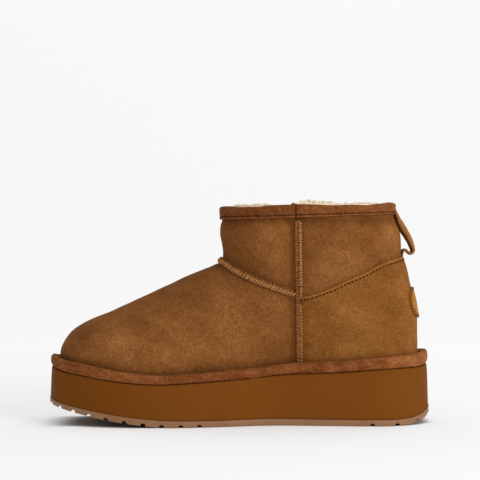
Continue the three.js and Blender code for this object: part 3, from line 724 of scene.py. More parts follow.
# %% Suedes, each from dark to light
SUEDE = suede("suede", srgb(96, 56, 23), srgb(128, 80, 38), srgb(158, 107, 61))
COUNTER_SUEDE = suede("counter_suede", srgb(104, 62, 22), srgb(136, 86, 38), srgb(162, 111, 60))
PIPING_SUEDE = suede("piping_suede", srgb(92, 48, 22), srgb(126, 72, 36), srgb(156, 98, 56), patch=60)
BINDING_SUEDE = suede("binding_suede", srgb(84, 43, 18), srgb(116, 66, 32), srgb(148, 94, 54), patch=60)
SEAM_SUEDE = suede("seam_suede", srgb(90, 50, 20), srgb(130, 82, 42), srgb(160, 108, 62), patch=60)
BADGE = suede("badge_suede", srgb(132, 82, 30), srgb(164, 107, 44), srgb(186, 130, 66), patch=60)
print("materials:", len(bpy.data.materials))

# %% [markdown]
# Outsole. It is a moulded sheet of gum rubber. Its rim could be cut with booleans, but a height function
# is lighter: going round the rim, the underside is lifted wherever a groove runs, so lugs stay between
# the grooves, and the same grid carries the rounded edges and the ribs in the middle of the tread.

# %% Rings round the outline
TOE_TRIM = 1.1


def rim_stations(count, inset):
    """x along one side of the outline, closer together at the round ends."""
    share = (1 - np.cos(math.pi * np.arange(count + 1) / count)) / 2
    return inset + share * (SOLE_LENGTH - 2 * inset)


def rim_loop(count, inset):
    """Closed outline at an inset: inner side from toe to heel, then outer side back to the toe."""
    x = rim_stations(count, inset)
    reach, middle = sole_reach(x, inset), middle_line(x)
    x = x + TOE_TRIM * np.clip(1 - x / TOE_ROUND, 0, 1) ** 2
    inner = np.stack([x, middle - reach], axis=1)
    outer = np.stack([x, middle + reach], axis=1)
    return np.concatenate([inner, outer[-2:0:-1]])


def at_height(loop, height):
    """A ring of points from an outline and its heights."""
    return np.column_stack([loop, height])


def capped(rings):
    """A grid of rings, closed below and above by lines on the foot's middle line."""
    ends = [at_height(np.stack([ring[:, 0], middle_line(ring[:, 0])], axis=1), ring[:, 2])
            for ring in (rings[0], rings[-1])]
    return np.stack([ends[0]] + rings + [ends[1]])


RIM_STEPS = 600
print("length of the rim, mm:", walked(rim_loop(RIM_STEPS, 0))[-1].round(1))


# %% Outsole
NOWHERE_NEAR = 99.0
LUG_HEIGHT = 1.8
LUG_LENGTH = 15.0
GROOVE_WIDTH = 3.2
TOE_PITCH = 12.7
HEEL_PITCH = 17.4
TOE_GROOVES = 10
HEEL_GROOVES = 4
HEEL_GROOVE_START = 0.76
RIB_PITCH = 7.5
RIB_DEPTH = 0.7


def rim_arcs(loop, count):
    """Arc length of every point of the loop from the toe tip and from the heel tip, on its own side."""
    arc = walked(np.vstack([loop, loop[:1]]))
    total, arc = arc[-1], arc[:-1]
    inner_side = np.arange(len(loop)) <= count
    toe = np.where(inner_side, arc, total - arc)
    heel = np.where(inner_side, arc[count] - arc, arc - arc[count])
    return toe, heel


def grooves(loop, count):
    """1 in a groove and 0 on a lug, for every point of the rim."""
    toe, heel = rim_arcs(loop, count)
    near_toe = np.abs(toe / TOE_PITCH - np.round(toe / TOE_PITCH)) * TOE_PITCH
    near_toe = np.where(toe < (TOE_GROOVES + 0.5) * TOE_PITCH, near_toe, NOWHERE_NEAR)
    along = heel / HEEL_PITCH - HEEL_GROOVE_START
    near_heel = np.abs(along - np.clip(np.round(along), 0, HEEL_GROOVES - 1)) * HEEL_PITCH
    near = np.minimum(near_toe, np.minimum(near_heel, heel))
    return 1 - ease((near - GROOVE_WIDTH / 2 + 0.25) / 0.5)


# Insets of the rings from the rim, with their drop below the gum's top or their lift above the ground.
GUM_TOP_RINGS = [(30.0, 0.0), (8.0, 0.0), (0.7, 0.0), (0.2, 0.2), (0.0, 0.7)]
GUM_EDGE_RINGS = [(0.0, LUG_HEIGHT), (0.0, 0.5), (0.2, 0.15), (0.6, 0.0)]
GUM_LUG_RINGS = [(inset, 0.0) for inset in np.linspace(2, LUG_LENGTH - 0.5, 7)]


def gum_sole():
    """Rings from the top's middle out over the rim and back under the sole. A ring's height is the
    ground curve, raised by the lugs' height wherever its point lies in a groove."""
    loop = rim_loop(RIM_STEPS, 0)
    groove = grooves(loop, RIM_STEPS)
    middle = np.stack([loop[:, 0], middle_line(loop[:, 0])], axis=1)
    to_middle = unit(middle - loop)
    far = np.linalg.norm(middle - loop, axis=1)
    top = gum_top(loop[:, 0])
    rings = []
    for inset, drop in GUM_TOP_RINGS:
        place = loop + to_middle * np.minimum(inset, far)[:, None]
        rings.append(at_height(place, top - drop))
    for inset, lift in GUM_EDGE_RINGS + GUM_LUG_RINGS + [(LUG_LENGTH + 0.3, 0.0)]:
        place = loop + to_middle * np.minimum(inset, far)[:, None]
        cut = groove * (inset < LUG_LENGTH)
        rise = np.maximum(lift, LUG_HEIGHT * cut)
        rings.append(at_height(place, ground_height(place[:, 0]) + rise))
    for share in np.linspace(0.08, 1, 8):
        inset = LUG_LENGTH + 0.3 + share * np.maximum(far - LUG_LENGTH - 0.3, 0)
        place = loop + to_middle * np.minimum(inset, far)[:, None]
        rib = ease((np.abs(place[:, 0] / RIB_PITCH % 1 - 0.5) - 0.30) / 0.08)
        rise = RIB_DEPTH * rib * (0.08 < share < 1) * (far > LUG_LENGTH + 4)
        rings.append(at_height(place, ground_height(place[:, 0]) + rise))
    points = np.stack([at_height(middle, top)] + rings)
    piece = add_grid("gum_sole", points, GUM, wrap_cols=True)
    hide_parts("outsole")


gum_sole()

# %% [markdown]
# Platform. A block of foam with its own skin, moulded straight up and flared a little at its foot. A few
# levels between the ground curve and the deck curve carry its outline; small radii at both edges catch
# the light the way moulded foam does.


# %% Platform
def platform():
    """Rings at shares of the height between gum and deck, moved in and out for flare and radii."""
    count = 220
    levels = [(6.0, 0.0), (1.2, 0.0), (0.55, 0.006), (0.4, 0.03), (0.5, 0.15), (0.65, 0.35), (0.85, 0.6),
              (1.15, 0.85), (1.35, 0.95), (1.7, 0.99), (2.6, 1.0), (7.0, 1.0)]
    rings = []
    for inset, share in levels:
        loop = rim_loop(count, inset)
        foot = gum_top(loop[:, 0]) + GAP * 0.3
        rings.append(at_height(loop, mix(foot, deck_height(loop[:, 0]), share)))
    piece = add_grid("foam_platform", capped(rings), FOAM, wrap_cols=True)
    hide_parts("midsole")


platform()

# %% [markdown]
# Piping. A strip of suede is rolled over a cord and sewn round the rim, and its ends lap over each other
# on the inner side. A section carried round the outline makes the roll; the lap is a low diagonal step
# in its radius, and a soft seeded ripple keeps it from looking machined.

# %% Piping
JOIN_X = 132.0
PIPING_RISE_AT = [0, 12, 25, 37, 55, 80, 110, 150, 170, 205, 241, 258, 265]
PIPING_RISE = [0.4, 1.1, 1.1, 0.6, 0.0, -0.9, -0.9, -0.4, 0.5, 0.8, 1.3, 2.2, 2.8]
JOIN_SLANT = 9.0


def piping():
    """A squarish round section carried round the rim: each of its points runs on an outline of its
    own inset and height. Ripple, lap and crease then move the points away from the section's centre."""
    count, sides = 340, 24
    angle = 2 * math.pi * np.arange(sides) / sides
    inner_edge, outer_edge = UPPER_INSET - 0.1, GAP + 0.4
    reach, middle = (inner_edge - outer_edge) / 2, (inner_edge + outer_edge) / 2
    rings = []
    for a in angle:
        bulge_x, bulge_z = (np.sign(v) * abs(v) ** 0.74 for v in (math.cos(a), math.sin(a)))
        loop = rim_loop(count, middle - reach * bulge_x)
        height = PIPING_HEIGHT + np.interp(loop[:, 0], PIPING_RISE_AT, PIPING_RISE)
        rings.append(at_height(loop, deck_height(loop[:, 0]) + GAP + height / 2 * (1 + bulge_z)))
    points = np.stack(rings, axis=1)
    centre = points.mean(axis=1, keepdims=True)
    away = unit(points - centre)
    ripple = 0.16 * wave_noise(points, 9.0, 3) + 0.10 * wave_noise(points, 3.5, 4)
    along = points[..., 0] - JOIN_X + JOIN_SLANT * np.sin(angle)[None, :]
    on_join_side = points[..., 1] < middle_line(points[..., 0])
    lap = 0.55 * bell(along, 7.5) + 0.5 * bell(along - 1.0, 1.6)
    crease = -0.9 * bell(along + 1.6, 0.8)
    points = points + away * (ripple + (lap + crease) * on_join_side)[..., None]
    tone = np.interp(points[..., 0], [15, 60, 130, 190, 235], [0.36, 0.46, 0.22, 0.26, 0.76])
    nap = tone + 0.30 * wave_noise(points, 14.0, 5) + 0.35 * wave_noise(points, 3.0, 6)
    # Painted highlight on the lap and painted shade in the crease beside it.
    nap = nap + 0.3 * (lap * 0.6 + crease) * on_join_side
    piece = add_grid("rolled_piping", points, PIPING_SUEDE, True, True, {"nap": nap})
    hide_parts("welt_piping")


piping()

# %% [markdown]
# The upper. A sheepskin upper has no stiff lining, so it could be simulated as cloth, but this one photo
# shows which folds it has. A skin worked out from the sections takes a relief instead: strokes drawn in
# the side view press soft troughs and ridges into it, and along the seams the leather is drawn in, so it
# puffs between them. The same relief is painted into the suede's tone: shade in its troughs, highlight on its
# ridges.

# %% Seam lines and the counter's edge
INSTEP_SEAM = table("at up", [
    (.395, .826), (.425, .790), (.445, .766), (.461, .750), (.495, .709), (.528, .682), (.560, .657),
    (.593, .636), (.639, .607), (.680, .588),
])
COUNTER_EDGE = table("at up", [
    (.630, .570), (.655, .578), (.700, .598), (.740, .625), (.780, .659), (.825, .693), (.867, .731),
    (.930, .766), (.960, .780),
])
instep_curve = smooth(INSTEP_SEAM, "at", "up")
counter_curve = smooth(COUNTER_EDGE, "at", "up")


def seam_side_x(z):
    """x of the side seams at a height: their foot lies a slant further back than their top."""
    return SOLE_LENGTH * SIDE_SEAM_AT + SIDE_SEAM_SLANT * (1 - z / COLLAR_BACK)


def behind_seam(x, z):
    """True on the heel's side of the side seams."""
    return x > seam_side_x(z)


def instep_seam_z(x):
    """Height of the seam between vamp and shaft, a share of the collar's height in front."""
    return COLLAR_FRONT * instep_curve(x / SOLE_LENGTH)


def counter_edge_z(x):
    """Height of the counter's cut edge, a share of the collar's height at the back."""
    return COLLAR_BACK * counter_curve(x / SOLE_LENGTH)


print("side seam at the sole, mm:", seam_side_x(0))
print("counter's edge at the side seam, mm:", float(counter_edge_z(seam_side_x(90.0))))


# %% Strokes and spots
# Lengths are in millimetres from the toe tip and the ground. A depth below 0 is a trough. The side is 1 for
# the inner side that the photo shows, -1 for the outer side and 0 for both.
STROKES = [
    # depth, width, side, points of the stroke in the side view
    (-0.9, 5.0, 0, [(112, 104), (122, 99), (136, 92), (150, 86)]),
    (0.7, 6.0, 0, [(100, 98), (116, 88), (136, 80)]),
    (-0.6, 7.0, 1, [(88, 84), (102, 74), (112, 62)]),
    (-0.5, 6.0, -1, [(84, 80), (96, 72), (110, 60)]),
    (0.6, 9.0, 0, [(40, 62), (60, 58), (80, 60)]),
    (-0.5, 8.0, 1, [(20, 52), (34, 48), (48, 50)]),
    (-0.7, 6.0, 1, [(134, 120), (142, 108), (156, 100)]),
    (0.7, 8.0, 1, [(140, 134), (152, 122), (160, 106)]),
    (-0.6, 6.0, -1, [(132, 124), (146, 112), (158, 104)]),
    (-0.6, 7.0, 1, [(196, 132), (214, 124), (232, 122)]),
    (0.6, 8.0, 1, [(188, 118), (206, 112), (226, 110)]),
    (-0.5, 7.0, -1, [(190, 128), (208, 120), (230, 118)]),
    (-0.6, 8.0, 0, [(186, 66), (206, 60), (228, 58)]),
    (0.6, 9.0, 0, [(190, 80), (212, 76), (234, 78)]),
]
NAP_SPOTS = [
    # lightness, radius, side, x, z
    (-0.9, 9, 0, 24, 60), (-0.6, 10, 0, 37, 68), (0.9, 11, 0, 50, 55), (0.5, 9, 0, 34, 51),
    (-0.9, 10, 0, 66, 71), (-0.7, 8, 0, 70, 50), (0.6, 13, 0, 92, 58), (-1.0, 12, 0, 107, 82),
    (-0.6, 10, 0, 86, 84), (0.9, 12, 0, 122, 68), (0.7, 9, 0, 120, 95), (-0.5, 8, 0, 150, 64),
    (0.6, 9, 0, 160, 84), (-1.0, 11, 0, 127, 128), (-0.8, 9, 0, 137, 118), (0.7, 8, 0, 154, 136),
    (0.6, 9, 0, 158, 116), (-0.5, 9, 0, 147, 106), (-0.5, 9, 0, 190, 132), (0.6, 11, 0, 200, 112),
    (-0.7, 10, 0, 222, 124), (0.6, 9, 0, 206, 136), (0.5, 10, 0, 190, 104), (-0.7, 9, 0, 192, 76),
    (0.7, 12, 0, 205, 86), (-0.6, 11, 0, 238, 72), (0.5, 10, 0, 220, 62), (-0.5, 9, 0, 196, 52),
    (0.8, 8, 0, 236, 134),
]


def side_of(x, y):
    """1 on the inner side, -1 on the outer side and a soft change over the middle line."""
    return np.clip((middle_line(x) - y) / 10, -1, 1)


def on_side(side, wanted):
    """Share with which a stroke counts on a side: all of it where it is wanted on both."""
    return 1.0 if wanted == 0 else ease((1 + side * wanted) / 2)


def stroke_distance(x, z, points):
    """Distance from the nearest of the stroke's straight parts, and the share walked along it."""
    best, share = np.full(np.shape(x), 1e9), np.zeros(np.shape(x))
    lengths = [math.dist(a, b) for a, b in zip(points, points[1:])]
    for k, ((ax, az), (bx, bz)) in enumerate(zip(points, points[1:])):
        t = np.clip(((x - ax) * (bx - ax) + (z - az) * (bz - az)) / lengths[k] ** 2, 0, 1)
        away = np.hypot(x - mix(ax, bx, t), z - mix(az, bz, t))
        nearer = away < best
        best = np.where(nearer, away, best)
        share = np.where(nearer, (sum(lengths[:k]) + t * lengths[k]) / sum(lengths), share)
    return best, share


print("strokes:", len(STROKES), "spots:", len(NAP_SPOTS))


# %% Relief, and nap with painted shading
def relief(x, y, z):
    """How far the leather stands out of its skin, in mm: strokes, seams that draw it in, soft waves."""
    side = side_of(x, y)
    total = np.zeros(np.broadcast(x, z).shape)
    for depth, width, wanted, points in STROKES:
        away, share = stroke_distance(x, z, points)
        fade = ease(4 * share) * ease(4 - 4 * share)
        total += depth * bell(away, width) * fade * on_side(side, wanted)
    total -= 1.3 * bell(x - seam_side_x(z), 4.2) * (z > foot_edge(x))
    total -= np.where(behind_seam(x, z), 0, 1.2 * bell(0.8 * (z - instep_seam_z(x)), 4.5))
    total -= 0.6 * bell(z - COLLAR_FRONT + 8, 4.5)
    total -= 0.7 * bell(np.maximum(z - piping_top(x), 0), 3.5)
    points = np.stack(np.broadcast_arrays(x, y, z), axis=-1)
    return total + 0.35 * wave_noise(points, 46.0, 11) + 0.16 * wave_noise(points, 21.0, 12)


def nap_and_painted_shading_of(x, y, z):
    """Lightness of the brushed nap around 0.5, with painted shading: spots; painted shade beside seams,
    piping, binding and the counter's edge and on top of the toe; and a little of the relief, as painted shade
    and highlight."""
    total = np.full(np.broadcast(x, z).shape, 0.5)
    side = side_of(x, y)
    for strength, radius, wanted, spot_x, spot_z in NAP_SPOTS:
        total += 0.30 * strength * bell(np.hypot(x - spot_x, z - spot_z), radius) * on_side(side, wanted)
    points = np.stack(np.broadcast_arrays(x, y, z), axis=-1)
    total += 0.16 * wave_noise(points, 24.0, 21) + 0.10 * wave_noise(points, 9.0, 22)
    behind = behind_seam(x, z)
    from_seam = np.abs(x - seam_side_x(z))
    from_instep = np.where(behind, NOWHERE_NEAR, 0.8 * np.abs(z - instep_seam_z(x)))
    above_piping = np.maximum(z - piping_top(x), 0)
    below_binding = np.maximum(COLLAR_FRONT - 9 - z, 0)
    # Painted shade beside the side seams and the instep seam, above the piping and below the binding.
    for away, reach in ((from_seam, 5.0), (from_instep, 4.5), (above_piping, 2.2), (below_binding, 2.5)):
        total -= 0.55 * np.exp(-away / reach)
    # Painted shadow in a band just in front of each side seam's bead.
    in_front = np.where(behind, NOWHERE_NEAR, from_seam)
    total -= 0.35 * bell(in_front, 4.5) + 0.8 * bell(in_front - 3.9, 1.4)
    # Painted shadow: a thin dark line just above the counter's edge.
    above_counter = np.where(behind, z - counter_edge_z(x), NOWHERE_NEAR)
    total -= np.where(above_counter > 0.2, 0.6 * bell(above_counter, 1.5), 0)
    # Painted shade along the top of the toe and vamp.
    total -= 0.5 * bell(y - middle_line(x), 17) * ease((155 - x) / 20)
    # Painted shade in the relief's troughs and painted highlight on its ridges.
    return total + 0.10 * relief(x, y, z)


print("relief on the vamp, mm:", float(relief(100.0, -30.0, 70.0)))


# %% Skin grid and the upper
SKIN_ROWS, SKIN_COLS = 172, 249


def even_sections(rows):
    """Section numbers whose ends travel equally far from one to the next."""
    dense = np.linspace(0, SECTIONS["number"][-1], 3000)
    _, low_x, low_z, top_x, top_z = upper_ends(dense)
    step = np.hypot(np.diff(low_x), np.diff(low_z)) + np.hypot(np.diff(top_x), np.diff(top_z))
    travel = np.concatenate([[0], np.cumsum(step)])
    return np.interp(np.linspace(0, travel[-1], rows), travel, dense)


skin_numbers = even_sections(SKIN_ROWS)
skin_across = np.linspace(0, 1, SKIN_COLS)
SKIN = upper_skin(skin_numbers[:, None], skin_across[None, :])
SKIN_NORMAL = normals_of(SKIN)
inner_side = SKIN_NORMAL[SKIN_ROWS // 3, SKIN_COLS // 6, 1]
SKIN_NORMAL *= -1 if inner_side > 0 else 1
SKIN_NORMAL[0] = (-1, 0, 0)
on_foot = upper_ends(skin_numbers)[0]["up"] <= 0
for flat_rows, flat_cols in ((on_foot, 0), (on_foot, -1)):
    SKIN_NORMAL[flat_rows, flat_cols, 2] = 0
SKIN_NORMAL[-1, :, 2] = 0
SKIN_NORMAL = unit(SKIN_NORMAL)
SKIN_RELIEF = relief(*xyz(SKIN)) * ease((SKIN[..., 2] - foot_edge(SKIN[..., 0])) / 6)
print("skin", SKIN.shape, "relief, mm:", SKIN_RELIEF.min().round(2), SKIN_RELIEF.max().round(2))


def two_sided_faces(rows, cols, foot_rows):
    """Faces of a closed shell from two stacked grids: strips at the foot's edges and at the last row."""
    size = rows * cols
    cells = grid_faces(rows, cols, False, False)
    i, j = np.arange(foot_rows), np.arange(cols - 1)
    first, last, rim = i * cols, i * cols + cols - 1, (rows - 1) * cols + j
    strips = [
        np.stack([first, first + cols, first + cols + size, first + size], axis=1),
        np.stack([last + cols, last, last + size, last + cols + size], axis=1),
        np.stack([rim, rim + 1, rim + 1 + size, rim + size], axis=1),
    ]
    return np.concatenate([cells, cells[:, ::-1] + size] + strips)


def upper_leather():
    """Outer skin with its relief, inner skin one wall further in, strips at the foot and the collar."""
    outer = SKIN + SKIN_NORMAL * SKIN_RELIEF[..., None]
    inner = SKIN - SKIN_NORMAL * WALL
    faces = two_sided_faces(SKIN_ROWS, SKIN_COLS, int(on_foot.sum()) - 1)
    nap = {"nap": np.stack([nap_and_painted_shading_of(*xyz(SKIN))] * 2)}
    piece = add_mesh("leather_upper", np.stack([outer, inner]), faces, SUEDE, nap)
    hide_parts("upper")


upper_leather()

# %% [markdown]
# The heel counter. It is a second layer of suede, cut along a rising edge and topstitched. It could be
# lifted out of the upper's own faces, but then its edge would follow the grid; slices at a height wrap
# round the heel from one side seam to the other, so a panel can have any edge. A cut edge shows light.

# %% Surfaces behind the side seams
LAYER = 1.5
PANEL_FOOT = 4.0
STITCH_DROP = 2.2
UPWARDS = np.array([0.0, 0.0, 1.0])


def heel_wrap(theta, level):
    """Skin behind the side seams. theta is 0 on the inner seam, half pi at the back and pi on the outer
    seam; level gives the height over x, so height and x are brought together in a few rounds."""
    theta = np.asarray(theta, dtype=float)
    x = np.full(np.broadcast(theta, level(200.0)).shape, 200.0)
    for _ in range(14):
        z = level(x)
        x = seam_side_x(z) + (back_at(z) - seam_side_x(z)) * np.abs(np.sin(theta))
    side = np.where(theta < math.pi / 2, -1, 1)
    return np.stack([x, middle_line(x) + side * upper_reach(x, z), z + 0 * x], axis=-1)


def edge_level(drop):
    """Height over x a drop below the counter's edge."""
    return lambda x: counter_edge_z(x) - drop


def framed(surface, theta, lift, *args):
    """Points a lift above the leather, with the leather's relief, and their outward directions."""
    step = 0.004
    here = surface(theta, *args)
    before, after = (surface(np.clip(theta + way, 0, math.pi), *args) for way in (-step, step))
    normal = unit(np.cross(after - before, UPWARDS))
    return here + normal * (relief(*xyz(here)) + lift)[..., None], normal


def counter_grid():
    """Rings round the counter's section: down its inner face and up its outer one, level by level. The
    outer face rounds off towards the cut edge and sinks where the stitches pull. Also gives the edge's
    share, 1 on the cut, for the nap."""
    theta = np.linspace(0, math.pi, 221)
    drops = [0, 0.06, 0.2, 0.45, 0.9, 1.4, 1.8, 2.1, 2.4, 2.9, 4.0, 5.5]
    drops += np.linspace(8, 30, 9).tolist()
    shares = np.linspace(0.05, 1, 12)
    levels = [edge_level(drop) for drop in drops]
    levels += [lambda x, s=s: mix(counter_edge_z(x) - 30, piping_top(x) - PANEL_FOOT, s) for s in shares]
    drops = np.array(drops + [99.0] * len(shares))
    rounding = 1.1 * (1 - np.sqrt(np.clip(1 - (1 - np.clip(drops / 0.9, 0, 1)) ** 2, 0, 1)))
    stitch_bed = 0.45 * bell(drops - STITCH_DROP, 0.5)
    outer, inner = [], []
    for level, cut in zip(levels, LAYER - rounding - stitch_bed):
        outer.append(framed(heel_wrap, theta, cut, level)[0])
        inner.append(framed(heel_wrap, theta, -0.9, level)[0])
    ring = np.stack(inner[::-1] + outer, axis=0)
    flat = (ring + ring[::-1]) / 2
    ring = np.concatenate([flat[:, :1], ring, flat[:, -1:]], axis=1)
    edge = np.concatenate([np.ones(len(drops)), bell(drops, 1.1)])
    return ring, edge[:, None] * np.ones(ring.shape[1])


# %% Heel counter and its topstitch
def counter():
    """The panel, lighter on its cut edge, with painted shade in a band below it."""
    points, edge = counter_grid()
    below_edge = counter_edge_z(points[..., 0]) - points[..., 2]
    nap = nap_and_painted_shading_of(*xyz(points)) - 0.05 + 0.6 * edge - 0.22 * bell(below_edge - 9, 8)
    piece = add_grid("heel_counter_suede", points, COUNTER_SUEDE, True, False, {"nap": nap})
    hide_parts("heel_counter")


def walk(surface, *args):
    """theta over arc length along a line of a surface, and the line's length."""
    theta = np.linspace(0, math.pi, 1500)
    arc = walked(surface(theta, *args))
    return lambda length: np.interp(length, arc, theta), arc[-1]


def stitch_row(name, surface, pitch, length, lift, radius, material, slot, *args):
    """Stitches that dip into the leather at both ends, laid along one line of a surface."""
    theta_at, total = walk(surface, *args)
    count = int(total / pitch)
    begins = (np.arange(count) + 0.5) * total / count - length / 2
    share = np.linspace(0, 1, 6)
    theta = theta_at(begins[:, None] + length * share[None, :])
    dip = 0.5 * (2 * share - 1) ** 4
    points, normal = framed(surface, theta, lift - dip[None, :], *args)
    return add_many(name, tubes(points, normal, radius, 5), material)


counter()
stitch_row("counter_topstitch", heel_wrap, 2.65, 1.35, LAYER - 0.25, 0.48, DARK_THREAD_AND_HOLE_SHADE, "suede",
           edge_level(STITCH_DROP))

# %% [markdown]
# The seams. The panels meet edge to edge in a raised overlocked seam: two cut edges stand up together and
# pale thread is whipped over them. A ridge is carried along the line on the skin, and every turn of the
# thread is a thin tube laid over it, because bump alone would not show at the front's outline.

# %% Ridge and thread along a line
def line_frames(path, normal):
    """Directions along a line, across it and up from it."""
    along = unit(np.gradient(path, axis=0))
    across = unit(np.cross(along, normal))
    return along, across, np.cross(across, along)


def even_line(path, normal, spacing):
    """The line and its normals again at even steps of arc length."""
    arc = walked(path)
    at = np.linspace(0, arc[-1], int(arc[-1] / spacing) + 1)
    path = np.stack([np.interp(at, arc, path[:, k]) for k in range(3)], axis=1)
    return path, unit(np.stack([np.interp(at, arc, normal[:, k]) for k in range(3)], axis=1))


def ridge(name, path, normal, width, height, material, seed):
    """Half-round bead sunk 1.2 mm into the leather, a little uneven, pointed at both ends."""
    path, normal = even_line(path, normal, 0.8)
    _, across, up = line_frames(path, normal)
    angle = np.linspace(0, math.pi, 11)
    sideways = np.concatenate([np.cos(angle) * width / 2, [-width / 2 * 0.9, width / 2 * 0.9]])
    lift = np.concatenate([np.sin(angle) ** 0.7 * height, [-1.2, -1.2]])
    wobble = 1 + 0.10 * wave_noise(path, 7.0, seed)
    taper = np.sqrt(np.clip(np.minimum(np.arange(len(path)), np.arange(len(path))[::-1]) / 1.5, 0.02, 1))
    points = (path[:, None] + across[:, None] * (sideways * taper[:, None])[..., None]
              + up[:, None] * (lift * (wobble * taper)[:, None])[..., None])
    ends = points.mean(axis=1, keepdims=True) + 0 * points
    points = np.concatenate([ends[:1], points, ends[-1:]])
    nap = 0.3 + 0.35 * wave_noise(points, 3.0, seed + 1)
    return add_grid(name, points, material, wrap_cols=True, attributes={"nap": nap})


THREAD_ROW = "name part width height pitch slant radius seed start low high thread".split()


def whipping(name, path, normal, row, seed):
    """Turns of thread over a ridge. Each runs over a share of the half round, from low to high, leans by
    the slant and sits a little off its place, as in hand-fed sewing."""
    path, normal = even_line(path, normal, row["pitch"])
    along, across, up = line_frames(path, normal)
    path = path[:-1] + row["start"] * along[:-1] * row["pitch"]
    path, along, across, up = (v[:, None] for v in (path, along[:-1], across[:-1], up[:-1]))
    random = np.random.default_rng(seed)
    phi = math.pi * np.linspace(row["low"], row["high"], 7)[None, :, None]
    loose = random.uniform(-0.4, 0.4, (len(path), 1, 1))
    lean = row["slant"] + random.uniform(-0.7, 0.7, (len(path), 1, 1))
    tall = row["height"] + 0.12 + random.uniform(-0.08, 0.12, (len(path), 1, 1))
    points = (path + across * (row["width"] / 2 + 0.1) * np.cos(phi) + up * (tall * np.sin(phi) ** 0.7 - 0.15)
              + along * (lean * (phi / math.pi - 0.5) + loose))
    return add_many(name, tubes(points, up + 0 * points, row["radius"], 5), row["thread"])


def sew(before, after, lines, seed, rows):
    """Lays each row of thread of a table over its own stretch of the seam."""
    for values in rows:
        row = dict(zip(THREAD_ROW, values))
        whipping(before + row["name"] + after, *lines[row["part"]], row, seed + row["seed"])


print("columns of a row of thread:", len(THREAD_ROW))


# %% Side seams
BINDING_FOOT = 139.2


def side_line(side, low, high):
    """Line of a side seam on the relieved leather, from below; side is -1 inner and 1 outer."""
    z = np.linspace(low, high, 240)
    x = seam_side_x(z)
    y = middle_line(x) + side * upper_reach(x, z)
    ahead = middle_line(x + 1) + side * upper_reach(x + 1, z) - y
    path = np.stack([x, y, z], axis=1)
    rise = np.gradient(path, axis=0)
    normal = unit(np.cross(np.stack([np.ones_like(x), ahead, 0 * x], axis=1), rise)) * side
    normal *= np.sign(normal[:, 1:2]) * side
    return path + normal * relief(x, y, z)[:, None], normal


# Above the instep seam two columns of thread meet over a line of holes, whose shade is painted as a row of
# dark thread; below it the right column is flatter. Columns as in THREAD_ROW, lengths in mm.
SIDE_SEAM_THREADS = [
    ("whip", "upper", 4.8, 1.95, 1.7, 2.4, 0.35, 2, 0.0, 0.04, 0.44, PALE_THREAD),
    ("cross", "upper", 4.8, 1.9, 1.9, -2.0, 0.31, 3, 0.5, 0.56, 0.94, DARKER_THREAD),
    ("holes", "upper", 4.8, 2.25, 2.1, 0.8, 0.42, 6, 0.2, 0.47, 0.53, DARK_THREAD_AND_HOLE_SHADE),
    ("low", "lower", 4.7, 1.9, 2.1, 3.0, 0.31, 4, 0.0, 0.50, 0.97, DARKER_THREAD),
    ("chain", "lower", 4.7, 1.95, 1.7, 2.6, 0.35, 5, 0.5, 0.06, 0.40, PALE_THREAD),
]


def side_seam(side, label, seed):
    """Bead from the piping to the binding, with rows of thread above and below the instep seam."""
    junction = float(instep_seam_z(seam_side_x(90.0)))
    foot = float(piping_top(seam_side_x(50.0))) - 1.5
    path, normal = side_line(side, foot, BINDING_FOOT + 1.5)
    bead = ridge("side_seam_bead_" + label, path, normal, 4.9, 1.9, SEAM_SUEDE, seed)
    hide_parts("side_seam_" + label)
    lines = {"upper": side_line(side, junction - 1, BINDING_FOOT + 0.5),
             "lower": side_line(side, foot + 1, junction - 1)}
    sew("side_seam_", "_" + label, lines, seed, SIDE_SEAM_THREADS)


side_seam(-1, "medial", 40)
side_seam(1, "lateral", 50)


# %% Instep seam
def instep_line():
    """Where the skin crosses the seam's height, column by column, from side seam over the front to side
    seam. In each column the crossing lies between two rows and is found by a straight line."""
    above = SKIN[..., 2] - instep_seam_z(SKIN[..., 0])
    row = np.argmax(above > 0, axis=0)
    col = np.arange(SKIN_COLS)
    before, after = above[row - 1, col], above[row, col]
    t = (before / (before - after))[:, None]
    path = mix(SKIN[row - 1, col], SKIN[row, col], t)
    normal = unit(mix(SKIN_NORMAL[row - 1, col], SKIN_NORMAL[row, col], t))
    good = (row > 0) & (path[:, 0] < seam_side_x(path[:, 2]) - 0.5) & (before <= 0)
    path, normal = path[good], normal[good]
    return path + normal * relief(*path.T)[:, None], normal


# The row of holes is painted shade: dark thread where the stitch holes lie in shade.
INSTEP_THREADS = [
    ("whip", "front", 4.8, 2.2, 1.9, 3.0, 0.38, 1, 0.0, 0.36, 0.90, PALE_THREAD),
    ("cross", "front", 4.8, 2.3, 2.2, -3.2, 0.27, 2, 0.5, 0.40, 0.80, DARKER_THREAD),
    ("holes", "front", 4.8, 2.5, 2.6, 0.8, 0.44, 3, 0.2, 0.22, 0.28, DARK_THREAD_AND_HOLE_SHADE),
]


def instep_seam():
    """Bead and thread along the line between vamp and shaft."""
    path, normal = instep_line()
    print("instep seam runs", len(path), "columns from", path[0].round(1), "to", path[-1].round(1))
    bead = ridge("instep_seam_bead", path, normal, 4.8, 2.2, SEAM_SUEDE, 60)
    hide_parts("instep_seam")
    sew("instep_", "", {"front": (path, normal)}, 60, INSTEP_THREADS)


instep_seam()

# %% [markdown]
# The collar binding. A strip of suede is folded over the collar and topstitched through all layers; its
# two ends meet in a standing join over the side seam. A folded strip is one profile carried round the
# collar, and where the join is, the profile steps out and up.

# %% Ring of the collar and where the binding's ends meet
COLLAR_LOOP_SIZE = 420


